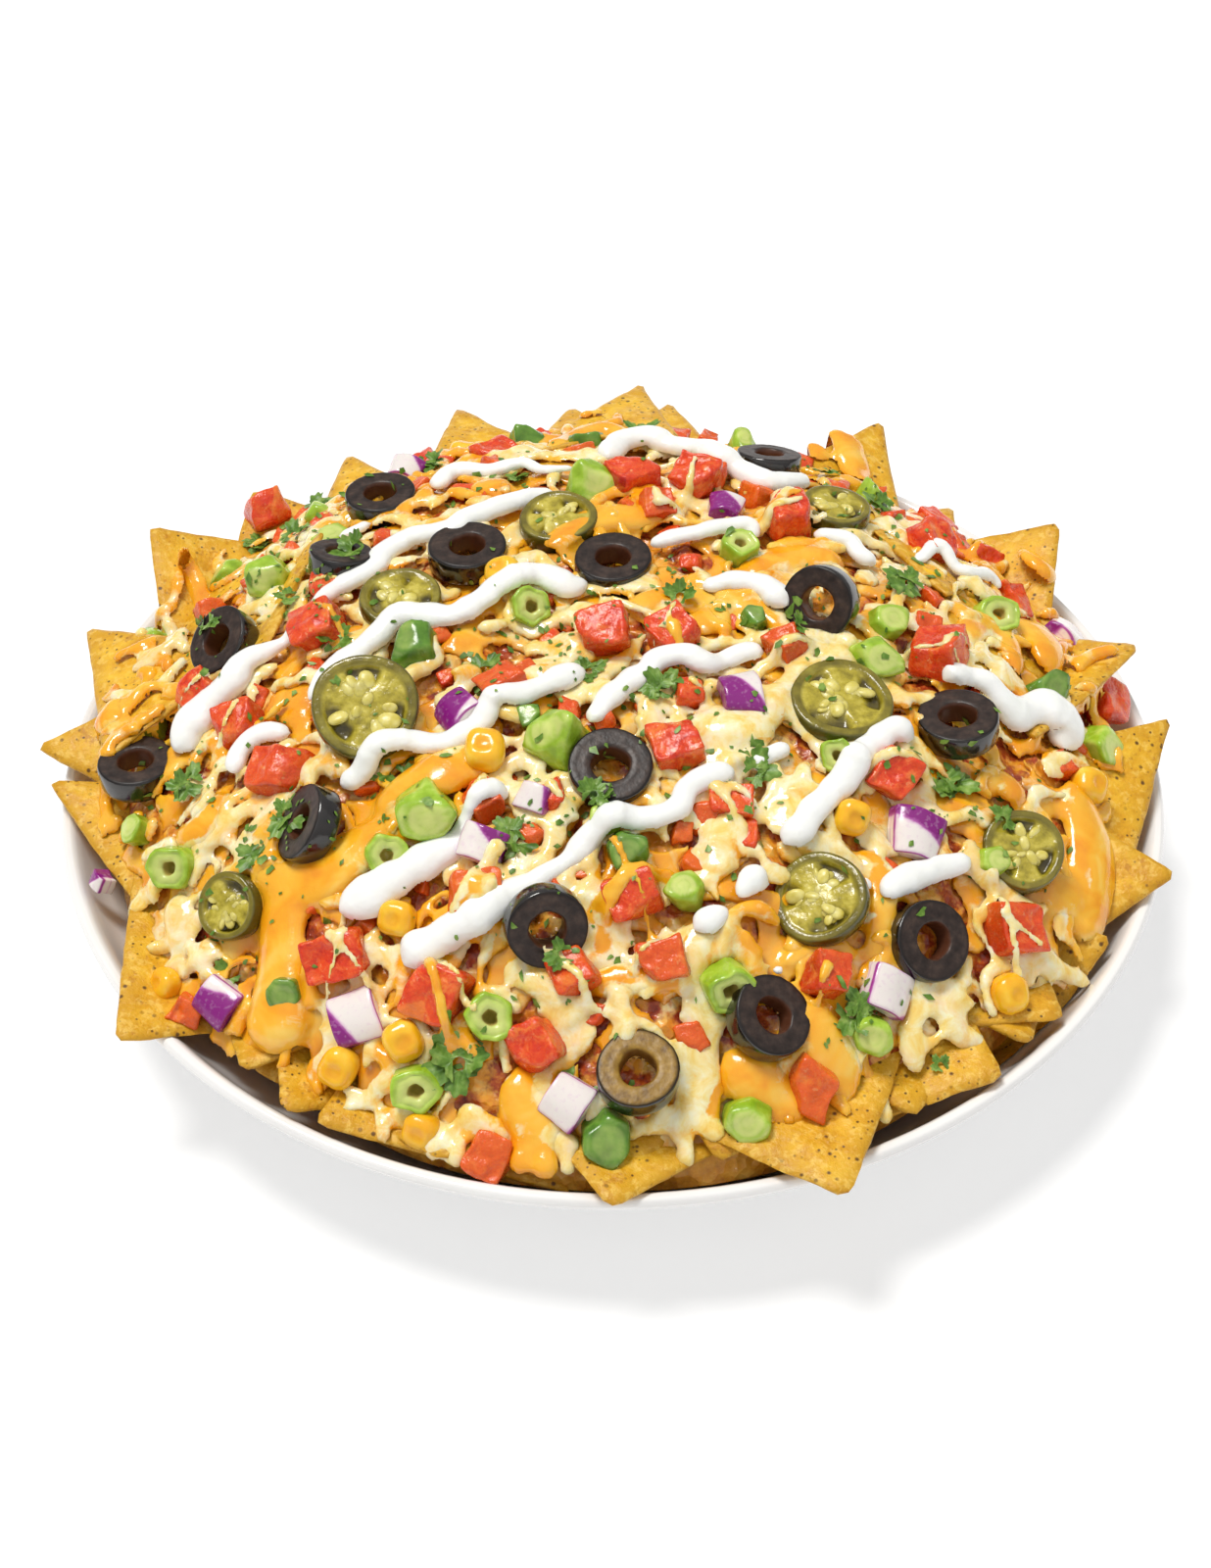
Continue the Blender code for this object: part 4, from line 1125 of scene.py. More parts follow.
def turned(profile, sides):
    """Rings of a profile of (radius, height) turned round Z, with the ends on the axis as one point."""
    points = []
    rings = []
    for radius, height in profile:
        if radius == 0:
            rings.append([len(points)] * sides)
            points.append((0, 0, height))
            continue
        rings.append(list(range(len(points), len(points) + sides)))
        for i in range(sides):
            angle = FULL_TURN * i / sides
            points.append((radius * math.cos(angle), radius * math.sin(angle), height))
    faces = []
    for first, second in zip(rings, rings[1:]):
        for i in range(sides):
            j = (i + 1) % sides
            faces.append(tuple(dict.fromkeys((first[i], first[j], second[j], second[i]))))
    return points, faces


def smooth_path(points, parts):
    """A Catmull-Rom curve through points, with this many steps between each two."""
    points = np.asarray(points, float)
    ends = np.vstack([2 * points[0] - points[1], points, 2 * points[-1] - points[-2]])
    out = []
    for k in range(len(points) - 1):
        p0, p1, p2, p3 = ends[k : k + 4]
        for step in range(parts):
            t = step / parts
            square = (2 * p0 - 5 * p1 + 4 * p2 - p3) * t * t
            cube = (3 * p1 - p0 - 3 * p2 + p3) * t**3
            out.append(0.5 * (2 * p1 + (p2 - p0) * t + square + cube))
    out.append(points[-1])
    return np.array(out)


def plate():
    outside = [(0.0, 0.0), (FOOT_RADIUS - 0.0005, 0.0)]
    outside += [tuple(p) for p in smooth_path(UNDERSIDE[2:] + LIP[:1], 4)]
    lip = [tuple(p) for p in smooth_path(LIP, 5)]
    inside = [tuple(p) for p in smooth_path(FOOD_SIDE[:-1], 5)]
    profile = outside + lip[1:] + inside + [FOOD_SIDE[-1]]
    made = Gathered()
    points, faces = turned(profile, PLATE_SIDES)
    made.add(points, faces)
    made.piece("plate_dish", [plate_look()], "plate", ["plate"], sharp=50)


RIM_END = RIM_RADIUS + 0.0006
WALL = np.array(FOOD_SIDE[::-1] + [LIP[-1], (RIM_END, RIM_HEIGHT)])


def inner_wall(radius):
    """Height of the plate's food side, or of its rim, at these radii, and far below it outside the rim."""
    return np.where(radius < RIM_END, np.interp(radius, WALL[:, 0], WALL[:, 1]), -1.0)


def chip_outline(angle, sides, draw):
    """Evenly spaced points round a triangle with rounded corners and slightly uneven edges."""
    reach = CHIP_SIDE * math.cos(0.5 * angle)
    spread = CHIP_SIDE * math.sin(0.5 * angle)
    corners = [np.array(c, float) for c in ((0, 0), (reach, -spread), (reach, spread))]
    dense = []
    for k in range(3):
        corner = corners[k]
        before = corners[k - 1] - corner
        after = corners[(k + 1) % 3] - corner
        before /= np.linalg.norm(before)
        after /= np.linalg.norm(after)
        start = corner + before * CHIP_CORNER
        end = corner + after * CHIP_CORNER
        turning = corner * 0.75 + 0.125 * (start + end)
        for t in np.linspace(0, 1, 12):
            dense.append((1 - t) ** 2 * start + 2 * t * (1 - t) * turning + t * t * end)
        following = corners[(k + 1) % 3] - after * CHIP_CORNER
        for t in np.linspace(0, 1, 60)[1:-1]:
            dense.append(end + (following - end) * t)
    dense = np.array(dense + [dense[0]])
    along = np.concatenate([[0], np.cumsum(np.linalg.norm(np.diff(dense, axis=0), axis=1))])
    marks = np.linspace(0, along[-1], sides, endpoint=False)
    outline = np.stack([np.interp(marks, along, dense[:, i]) for i in (0, 1)], axis=1)
    middle = outline.mean(axis=0)
    offset = draw.uniform(0, 50)
    uneven = np.array([noise_at(x * 220 + offset, y * 220, 0) for x, y in outline])
    return outline + (outline - middle) * (uneven * 0.018)[:, None], middle


def chip_mesh(made, tip, first, second, bend, draw, sides=78, rings=10):
    """A curved, blistered chip with its free corner at tip and two edges towards first and second."""
    edge_a = (first - tip).normalized()
    edge_b = (second - tip).normalized()
    along = (edge_a + edge_b).normalized()
    normal = edge_a.cross(edge_b).normalized()
    if normal.z < 0:
        normal = -normal
    across = normal.cross(along)
    angle = min(max(edge_a.angle(edge_b), CHIP_ANGLES[0]), CHIP_ANGLES[1])
    outline, middle = chip_outline(angle, sides, draw)
    offset = draw.uniform(0, 90)
    levels = list(np.linspace(0, 1, rings + 1)[1:] ** 0.8)

    def sheet_height(x, side, taper):
        from_trough = 1 - x / (CHIP_SIDE * CHIP_TROUGH)
        return 0.5 * bend * (from_trough**2 - 1) + side * CHIP_THICKNESS * taper

    def warp(x, y):
        return CHIP_WARP * noise_at(x * 38, y * 38, offset)

    sheets = []
    edges = []
    for side in (0.5, -0.5):
        for level in levels:
            flat = middle + (outline - middle) * level
            taper = 1.0 if level < 0.97 else 0.55
            for x, y in flat:
                lift = sheet_height(x, side, taper)
                lift += CHIP_BUMPS * noise_at(x * 130 + offset, y * 130, side * 4) + warp(x, y)
                blister = max(0.0, noise_at(x * 190, y * 190, offset + side * 9) - 0.25)
                lift += side * CHIP_BLISTER * blister * (1 - level**6)
                sheets.append((x, y, lift))
                edges.append(level)
    centres = [(*middle, sheet_height(middle[0], side, 1.0) + warp(*middle)) for side in (0.5, -0.5)]
    count = len(levels) * sides
    belt = []
    for i in range(sides):
        upper = np.array(sheets[count - sides + i])
        lower = np.array(sheets[2 * count - sides + i])
        outward = np.append(outline[i] - middle, 0)
        belt.append(0.5 * (upper + lower) + outward / np.linalg.norm(outward) * CHIP_BELT)
    points = np.array(sheets + centres + belt)
    frame_axes = np.array([along, across, normal])
    points = points @ frame_axes + np.array(tip)
    reach = np.hypot(points[:, 0], points[:, 1])
    points[:, 2] = np.maximum(points[:, 2], inner_wall(reach) + CHIP_GAP)
    faces = []
    for sheet in (0, 1):
        base = sheet * count
        centre = 2 * count + sheet
        for i in range(sides):
            j = (i + 1) % sides
            faces.append((centre, base + i, base + j) if sheet == 0 else (centre, base + j, base + i))
            for ring in range(len(levels) - 1):
                a = base + ring * sides
                b = a + sides
                face = (a + i, b + i, b + j, a + j)
                faces.append(face if sheet == 0 else face[::-1])
    for i in range(sides):
        j = (i + 1) % sides
        upper = count - sides
        lower = 2 * count - sides
        edge = 2 * count + 2
        faces.append((upper + i, edge + i, edge + j, upper + j))
        faces.append((edge + i, lower + i, lower + j, edge + j))
    made.add(points, faces, edge=np.array(edges + [0, 0] + [1.0] * sides))


def chips():
    """All the chips: those of the photograph, those tucked under them and those along the far rim."""
    made = Gathered()
    draw = random.Random(3)
    shape = random.Random(31)
    for tip_x, tip_y, over, ax, ay, bx, by in CHIPS + TUCKED_CHIPS:
        tip = at_height(tip_x, tip_y, RIM_HEIGHT + over / 1000)
        bend = CHIP_BEND * draw.uniform(0.4, 1.2)
        chip_mesh(made, tip, edge_end(tip, ax, ay), edge_end(tip, bx, by), bend, shape)
    for count, start, stand, reaches, spreads, foot, depth, low, play, bends in FAR_ROWS:
        for k in range(count):
            angle = math.pi * (start + (1 - 2 * start) * (k + shape.uniform(*stand)) / count)
            reach = shape.uniform(*reaches)
            ends = []
            for side in (-1, 1):
                turn = angle + side * shape.uniform(*spreads)
                x = foot * math.cos(turn)
                y = foot * math.sin(turn)
                ends.append(Vector((x, y, float(heap_height(x, y)) - depth)))
            height = max(float(inner_wall(reach)) + WALL_GAP, low) + shape.uniform(0, play)
            tip = Vector((reach * math.cos(angle), reach * math.sin(angle), height))
            chip_mesh(made, tip, *ends, CHIP_BEND * shape.uniform(*bends), shape, 54, 6)
    return made


# The cheese


def cover_edge():
    """Angles and radii of the line where the chips come out from under the cheese."""
    marks = []
    for _, _, _, ax, ay, bx, by in CHIPS:
        for across, down in ((ax, ay), (bx, by)):
            spot = on_heap(across, down)
            marks.append((math.atan2(spot.y, spot.x), math.hypot(spot.x, spot.y)))
    marks.sort()
    angles = np.array([m[0] for m in marks])
    radii = np.array([m[1] for m in marks])
    angles = np.concatenate([angles - FULL_TURN, angles, angles + FULL_TURN])
    return angles, np.tile(radii, 3)


EDGE_ANGLES, EDGE_RADII = cover_edge()


def cover_radius(x, y):
    return np.interp(np.arctan2(y, x), EDGE_ANGLES, EDGE_RADII)


def tube(made, path, widths, flat, sides):
    """A closed round run along a path. flat is its thickness as a share of its width."""
    path = np.asarray(path, float)
    count = len(path)
    ahead = np.gradient(path, axis=0)
    ahead /= np.linalg.norm(ahead, axis=1)[:, None] + 1e-12
    ups = np.array([heap_normal(x, y) for x, y, _ in path])
    side = np.cross(ahead, ups)
    side /= np.linalg.norm(side, axis=1)[:, None] + 1e-12
    ups = np.cross(side, ahead)
    angles = 2 * np.pi * np.arange(sides) / sides
    ring = np.cos(angles)[None, :, None] * side[:, None, :]
    ring = ring + flat * np.sin(angles)[None, :, None] * ups[:, None, :]
    half = np.asarray(widths, float)[:, None, None] / 2
    points = (path[:, None, :] + ring * half).reshape(-1, 3)
    before = path[0] - ahead[0] * widths[0] * END_BULGE
    beyond = path[-1] + ahead[-1] * widths[-1] * END_BULGE
    points = np.vstack([points, before, beyond])
    faces = []
    for i in range(sides):
        j = (i + 1) % sides
        faces.append((count * sides, j, i))
        last = (count - 1) * sides
        faces.append((count * sides + 1, last + i, last + j))
        for k in range(count - 1):
            a = k * sides
            b = a + sides
            faces.append((a + i, a + j, b + j, b + i))
    made.add(points, faces)


def remeshed(gathered, voxel, passes):
    """One closed skin round everything gathered, smoothed."""
    mesh = gathered.mesh("raw")
    body = bpy.data.objects.new("raw", mesh)
    bpy.context.scene.collection.objects.link(body)
    change = body.modifiers.new("skin", "REMESH")
    change.mode = "VOXEL"
    change.voxel_size = voxel
    soften = body.modifiers.new("soften", "SMOOTH")
    soften.factor = 0.5
    soften.iterations = passes
    graph = bpy.context.evaluated_depsgraph_get()
    graph.update()
    skin = bpy.data.meshes.new_from_object(body.evaluated_get(graph))
    bpy.data.objects.remove(body)
    points = np.empty(len(skin.vertices) * 3)
    skin.vertices.foreach_get("co", points)
    points = points.reshape(-1, 3)
    corners = np.empty(len(skin.loops), np.int64)
    skin.loops.foreach_get("vertex_index", corners)
    return points, corners.reshape(-1, 4)


def face_normals(points, faces):
    corners = points[faces]
    return np.cross(corners[:, 2] - corners[:, 0], corners[:, 3] - corners[:, 1])


def kept(points, faces, keep):
    """The faces to keep, with only the points that they use."""
    faces = faces[keep]
    used = np.unique(faces)
    new = np.full(len(points), -1)
    new[used] = np.arange(len(used))
    return points[used], new[faces]


def skin_piece(name, points, faces, look, **values):
    """One smooth piece of the heap, with named values per point."""
    mesh = bpy.data.meshes.new(name)
    mesh.from_pydata(points.tolist(), [], faces.tolist())
    mesh.polygons.foreach_set("use_smooth", [True] * len(mesh.polygons))
    for key, value in values.items():
        mesh.attributes.new(key, "FLOAT", "POINT").data.foreach_set("value", value.astype(np.float32))
    return piece(name, mesh, [look])


class Toppings:
    """Centres and radii of the toppings that cheese goes round."""

    def __init__(self):
        self.centres = []
        self.radii = []
        self.dice = []
        self.bores = []

    def add(self, centre, radius):
        self.centres.append(tuple(centre))
        self.radii.append(radius)

    def covers(self, x, y, z, share):
        centres = np.array(self.centres)
        reach = np.hypot(np.hypot(centres[:, 0] - x, centres[:, 1] - y), centres[:, 2] - z)
        return bool((reach < np.array(self.radii) * share).any())


def meander(draw, x, y, heading, length):
    """A wandering line over the heap, drawn downhill by a share."""
    places = [(x, y)]
    for _ in range(max(2, int(length / STRAND_STEP))):
        slope = math.atan2(y - HEAP_SHIFT, x)
        heading += draw.gauss(0, STRAND_TURN) + STRAND_DOWNHILL * math.sin(slope - heading)
        x += STRAND_STEP * math.cos(heading)
        y += STRAND_STEP * math.sin(heading)
        places.append((x, y))
    return places


def ground_under(chip_tree):
    """A function for the highest of the heap and the chips at a place."""

    def ground(x, y):
        height = float(heap_height(x, y))
        if math.hypot(x, y) > CHIP_ZONE:
            hit = chip_tree.ray_cast(Vector((x, y, CHIP_CAST)), DOWN)[0]
            if hit is not None and height < hit.z < height + CHIP_RISE:
                return hit.z
            if hit is not None and math.hypot(x, y) > BARE_CHIP_ZONE:
                return max(height, hit.z)
        return height

    return ground


GOLD_PLACES = np.array([(*on_heap(across, down)[:2], share) for across, down, share in GOLD_MARKS])


def gold_share(x, y):
    """How orange the cheese is at a place, from below 0 for white to above 1 for orange."""
    near = ((GOLD_PLACES[:, 0] - x) ** 2 + (GOLD_PLACES[:, 1] - y) ** 2 + 6e-6) ** -1.5
    share = float((near * GOLD_PLACES[:, 2]).sum() / near.sum())
    return share + 0.45 * noise_at(x * 75, y * 75, 4.0) + 0.25 * noise_at(x * 210, y * 210, 8.0)


def within_one(share):
    return min(1.0, max(0.0, share))


class Melt:
    """Shreds of cheese that melt into one skin, each with a colour."""

    def __init__(self, draw, ground, toppings):
        self.under = Gathered()
        self.over = Gathered()
        self.samples = []
        self.shares = []
        self.thick = []
        self.window_cells = {}
        self.draw = draw
        self.ground = ground
        self.toppings = toppings

    def run(self, made, path, widths, flat, share, sides=8):
        tube(made, path, widths, flat, sides)
        for spot, width in zip(path, widths):
            self.samples.append(tuple(spot))
            self.shares.append(share)
            self.thick.append(width * 0.5 * min(1.0, flat + 0.2))

    def sheet(self):
        """A lumpy sheet over the heap, with windows onto what lies under it."""
        ticks = np.arange(-SHEET_REACH, SHEET_REACH, SHEET_STEP)
        count = len(ticks)
        points = np.zeros((2, count, count, 3))
        solid = np.zeros((count, count), bool)
        for i, x in enumerate(ticks):
            for j, y in enumerate(ticks):
                reach = math.hypot(x, y)
                if reach > SHEET_REACH:
                    continue
                edge = float(cover_radius(x, y)) + 0.005 * noise_at(x * 160, y * 160, 31.0)
                window = noise_at(x * 105, y * 105, 21.0) + 0.35 * noise_at(x * 290, y * 290, 23.0)
                lumps = 0.0010 * noise_at(x * 150, y * 150, 25.0) + 0.0008 * noise_at(x * 340, y * 340, 27.0)
                top = self.ground(x, y) + lumps - 0.0006
                points[0, i, j] = x, y, top
                points[1, i, j] = x, y, top - SHEET_THICKNESS
                near = self.near_windows(x, y)
                opened = any((x - wx) ** 2 + (y - wy) ** 2 < size * size for wx, wy, size in near)
                solid[i, j] = reach < edge and window > -0.15 and not opened
                if solid[i, j]:
                    self.samples.append((x, y, top))
                    self.shares.append(within_one(gold_share(x, y) + 0.48))
                    self.thick.append(0.0006)
        cells = solid[:-1, :-1] & solid[1:, :-1] & solid[:-1, 1:] & solid[1:, 1:]
        faces = []
        half = count * count
        for i, j in zip(*np.nonzero(cells)):
            a = i * count + j
            square = (a, a + count, a + count + 1, a + 1)
            faces.append(square)
            faces.append(tuple(k + half for k in square[::-1]))
            for (di, dj), (first, second) in (
                ((0, -1), (a, a + count)),
                ((1, 0), (a + count, a + count + 1)),
                ((0, 1), (a + count + 1, a + 1)),
                ((-1, 0), (a + 1, a)),
            ):
                if not cells[i + di, j + dj]:
                    faces.append((second, first, first + half, second + half))
        self.under.add(points.reshape(-1, 3), faces)

    def near_windows(self, x, y):
        return self.window_cells.get((int(x // WINDOW_CELL), int(y // WINDOW_CELL)), ())

    def open_windows(self, spots):
        """Places where the sheet is left open round something that shows through it."""

        def cells(middle, size):
            return range(int((middle - size) // WINDOW_CELL), int((middle + size) // WINDOW_CELL) + 1)

        for x, y, size in spots:
            for cell in itertools.product(cells(x, size), cells(y, size)):
                self.window_cells.setdefault(cell, []).append((x, y, size))

    def scatter(self, count, lengths, widths, highest, flat, offset, least, nearness, most_gold):
        """Shreds where the patch noise is over least and the cheese is no more orange than most_gold."""
        draw = self.draw
        laid = 0
        for _ in range(count * 12):
            if laid == count:
                break
            radius = STRAND_REACH * math.sqrt(draw.random())
            angle = draw.uniform(-math.pi, math.pi)
            x = radius * math.cos(angle)
            y = radius * math.sin(angle) + HEAP_SHIFT
            if noise_at(x * 60, y * 60, offset) + draw.uniform(-0.15, 0.15) < least:
                continue
            if gold_share(x, y) > most_gold:
                continue
            places = meander(draw, x, y, draw.uniform(*ANY_WAY), draw.uniform(*lengths))
            limit = float(cover_radius(x, y)) + draw.gauss(0.0005, 0.0024)
            places = [p for p in places if math.hypot(*p) < limit]
            lift = draw.uniform(-0.0002, highest)
            path = []
            for px, py in places:
                z = self.ground(px, py) + lift + 0.0006 * noise_at(px * 400, py * 400, laid)
                if self.toppings.covers(px, py, z, nearness):
                    break
                path.append((px, py, z))
            if len(path) < 3:
                continue
            width = draw.uniform(*widths)
            along = np.linspace(0, 1, len(path))
            swell = 0.5 + 0.5 * np.sin(np.pi * (0.1 + 0.8 * along)) + 0.15 * np.sin(9 * along + lift * 9000)
            profile = width * swell
            share = within_one(gold_share(*path[len(path) // 2][:2]) - 0.2 + draw.gauss(0, 0.22))
            self.run(self.over, path, np.maximum(profile, 0.0009), flat, share)
            laid += 1

    def collars(self):
        """Cheese that has crept up round the feet of the toppings."""
        draw = self.draw
        for centre, radius in zip(self.toppings.centres, self.toppings.radii):
            for _ in range(draw.choice((2, 3, 3, 4))):
                start = draw.uniform(*ANY_WAY)
                sweep = draw.uniform(0.6, 1.6)
                path = []
                for k in range(7):
                    angle = start + sweep * k / 6
                    reach = radius * draw.uniform(0.98, 1.12) + 0.0006
                    x = centre[0] + reach * math.cos(angle)
                    y = centre[1] + reach * math.sin(angle)
                    if math.hypot(x, y) > COLLAR_REACH:
                        continue
                    path.append((x, y, self.ground(x, y) + draw.uniform(-0.0002, 0.0009)))
                if len(path) > 2:
                    share = within_one(gold_share(*path[0][:2]) + draw.gauss(0, 0.2))
                    self.run(self.over, path, np.full(len(path), draw.uniform(*COLLAR_WIDTHS)), 0.8, share)

    def drapes(self, tree, spots):
        """Strands that hang over toppings and down their sides."""
        draw = self.draw
        for _ in range(DRAPE_COUNT):
            centre, radius = draw.choice(spots)
            heading = math.atan2(centre[1] - HEAP_SHIFT, centre[0]) + draw.gauss(0, 0.8)
            off = draw.uniform(-0.55, 0.55) * radius
            begin = -1.7 * radius if draw.random() < 0.5 else draw.uniform(-0.6, 0.1) * radius
            length = 1.9 * radius - begin
            path = []
            steps = int(length / DRAPE_STEP) + 4
            for k in range(steps):
                t = begin + length * k / steps
                x = centre[0] + t * math.cos(heading) - off * math.sin(heading)
                y = centre[1] + t * math.sin(heading) + off * math.cos(heading)
                if math.hypot(x, y) > DRAPE_REACH:
                    break
                hit = cast_down(tree, x, y)
                z = max(self.ground(x, y), hit.z if hit is not None else 0.0)
                path.append([x, y, z])
            if len(path) < 5:
                continue
            path = np.array(path)
            path[:, 2] = np.maximum(eased(path[:, 2], 2), path[:, 2] - 0.0008) + 0.0003
            width = draw.uniform(*DRAPE_WIDTHS)
            along = np.linspace(0, 1, len(path))
            share = 0.0 if draw.random() < 0.65 else 0.9
            self.run(self.over, path, width * (0.85 + 0.2 * np.cos(5 * along)), 0.7, share)

    def view_runs(self, made, runs, flat, share, lift):
        """Runs laid through view places, with widths in mm."""
        for run in runs:
            spots = [(*on_heap(across, down), width / 1000) for across, down, width in run]
            line = smooth_path(spots, 5)
            path = np.array([(x, y, max(z, self.ground(x, y)) + lift) for x, y, z, _ in line])
            self.run(made, path, rounded_ends(path, line[:, 3]), flat, share, 14)

    def rim_runs(self):
        """Cheese that has run down from the heap to the near rim."""
        for across, down, width, share in RIM_RUNS:
            outer = at_height(across, down, RIM_HEIGHT)
            inner = on_heap(across + self.draw.uniform(-6, 6), down - 34)
            middle = (outer + inner) / 2 + Vector((0, 0, 0.0010))
            path = smooth_path([inner, middle, outer], 5)
            widths = np.linspace(0.7, 1.0, len(path)) * width / 1000
            made = self.under if share > 0.5 else self.over
            self.run(made, path, rounded_ends(path, widths), 0.7, share, 12)

    def piece(self, name, gathered, voxel, look, drop):
        """The skin round one layer, without what can't be seen under it, coloured by the nearest shreds."""
        points, faces = remeshed(gathered, voxel, SMOOTHINGS)
        centre = points[faces].mean(axis=1)
        normal = face_normals(points, faces)
        normal /= np.linalg.norm(normal, axis=1)[:, None] + 1e-12
        top = heap_height(centre[:, 0], centre[:, 1])
        outward = np.stack([centre[:, 0], centre[:, 1] - HEAP_SHIFT], axis=1) / HEAP_RADIUS
        upward = normal[:, 2] + 0.7 * (normal[:, :2] * outward).sum(axis=1)
        hidden = (centre[:, 2] < top - drop) & (np.hypot(centre[:, 0], centre[:, 1]) < 0.110)
        for into, bore in self.toppings.bores:
            local = centre @ into[:3, :3].T + into[:3, 3]
            hidden |= (np.hypot(local[:, 0], local[:, 1]) < bore) & (np.abs(local[:, 2] + 0.006) < 0.010)
        points, faces = kept(points, faces, ~hidden & (upward > -0.25))
        # How low each point lies under the heap top, which the cheese material turns into painted shade
        depth = (points[:, 2] - heap_height(points[:, 0], points[:, 1])) / 0.0036 + 0.55
        tree = KDTree(len(self.samples))
        for i, spot in enumerate(self.samples):
            tree.insert(Vector(spot), i)
        tree.balance()
        gold = np.empty(len(points))
        for k, point in enumerate(points):
            found = tree.find_n(Vector(point), NEAREST_SHREDS)
            weights = [1 / (max(0.0, gap - self.thick[index]) + 0.0004) ** 2 for _, index, gap in found]
            gold[k] = sum(w * self.shares[index] for w, (_, index, _) in zip(weights, found)) / sum(weights)
        return skin_piece(name, points, faces, look, depth=np.clip(depth, 0, 1), gold=gold)


def rounded_ends(path, widths):
    """Widths with round ends along a path."""
    steps = np.linalg.norm(np.diff(np.asarray(path)[:, :3], axis=0), axis=1)
    along = np.concatenate([[0], np.cumsum(steps)])
    near_end = np.minimum(along, along[-1] - along)
    part = np.clip(near_end / (np.maximum(widths, 1e-6) * 0.5) + 0.08, 0, 1)
    return widths * np.sqrt(1 - (1 - part) ** 2)


def bed():
    """The body under the cheese: a crumbly dome that comes down inside the plate."""
    made = Gathered()
    angles = 2 * np.pi * np.arange(BED_SEGMENTS) / BED_SEGMENTS
    inset = sum(depth * np.exp(-(((angles - middle) / INSET_SPREAD) ** 2)) for middle, depth in BED_INSETS)
    inset = np.minimum(inset, INSET_LIMIT)
    rings = []
    for radius in np.linspace(*BED_RADII):
        pulled = radius - inset * np.clip((radius - INSET_START) / 0.02, 0, 1)
        x = pulled * np.cos(angles)
        y = pulled * np.sin(angles) + HEAP_SHIFT * radius / HEAP_RADIUS
        bare = np.clip((np.hypot(x, y) - cover_radius(x, y) + 0.003) / 0.008, 0, 1)
        z = heap_height(x, y) - BED_DEPTH - BED_BARE_DROP * bare * bare * (3 - 2 * bare)
        rings.append(np.stack([x, y, z], axis=1))
    top = np.concatenate(rings)
    top[:, 2] += bumps(top, 240.0, 1.0) * BED_LUMPS + bumps(top, 560.0, 2.0) * BED_CRUMBS
    low = []
    for radius, height in BED_EDGE:
        pulled = radius - inset
        lowest = np.maximum(inner_wall(pulled) + WALL_GAP, height - 0.5 * inset)
        edge = [pulled * np.cos(angles), pulled * np.sin(angles), np.minimum(height, lowest)]
        low.append(np.stack(edge, axis=1))
    peak = [0, 0, heap_height(0, 0) - 0.0026]
    points = np.concatenate([top] + low + [np.array([peak])])
    faces = []
    for k in range(len(rings) + len(low) - 1):
        faces += band(k * BED_SEGMENTS, (k + 1) * BED_SEGMENTS, BED_SEGMENTS, flip=True)
    centre = len(points) - 1
    faces += [(centre, i, (i + 1) % BED_SEGMENTS) for i in range(BED_SEGMENTS)]
    reach = np.hypot(points[:, 0], points[:, 1])
    made.add(points, faces, rim=np.clip((reach - 0.112) / 0.008, 0, 1))
    return made.piece("salsa_bed", [bed_look()], "heap", ["heap"])


# Toppings


def cube_grid(steps):
    """Points of a cube's surface from -1 to 1, and its faces."""
    index = {}
    points = []
    faces = []

    def corner(place):
        if place not in index:
            index[place] = len(points)
            points.append([2 * c / steps - 1 for c in place])
        return index[place]

    for axis in range(3):
        for side in (0, steps):
            for u in range(steps):
                for v in range(steps):
                    square = []
                    for du, dv in ((0, 0), (1, 0), (1, 1), (0, 1)):
                        place = [0, 0, 0]
                        place[axis] = side
                        place[(axis + 1) % 3] = u + du
                        place[(axis + 2) % 3] = v + dv
                        square.append(corner(tuple(place)))
                    faces.append(tuple(square) if side else tuple(square[::-1]))
    return np.array(points, float), faces


def rounded_cube(points, radius):
    """Cube points with the edges rounded."""
    inner = np.clip(points, -(1 - radius), 1 - radius)
    out = points - inner
    length = np.linalg.norm(out, axis=1)
    scale = np.where(length > 1e-9, radius / np.maximum(length, 1e-9), 0)
    return inner + out * scale[:, None]


def box_points(width, depth, height, jitter, draw):
    points = []
    for z in (-0.5, 0.5):
        for y in (-0.5, 0.5):
            for x in (-0.5, 0.5):
                shift = [draw.uniform(-jitter, jitter) for _ in range(3)]
                points.append(np.array((x * width + shift[0], y * depth + shift[1], z * height + shift[2])))
    return points


CUBE_POINTS, CUBE_FACES = cube_grid(12)
BOX_SIDES = ((0, 2, 6, 4), (1, 3, 7, 5), (0, 1, 5, 4), (2, 3, 7, 6), (0, 1, 3, 2), (4, 5, 7, 6))


def sphere_grid(steps):
    points, faces = cube_grid(steps)
    return points / np.linalg.norm(points, axis=1)[:, None], faces


FINE_BALL = sphere_grid(14)
CHUNK_BALL = sphere_grid(12)
PLAIN_BALL = sphere_grid(7)
SEED_BALL = sphere_grid(4)


def pushed_out(ball, planes, sharpness):
    """A ball's points pushed out to these planes, and each plane's share. Sharpness is that of the edges."""
    pushes = np.maximum(ball @ np.array(planes).T, 0) ** sharpness
    total = pushes.sum(axis=1)
    return ball * (total ** (-1 / sharpness))[:, None], pushes / total[:, None]


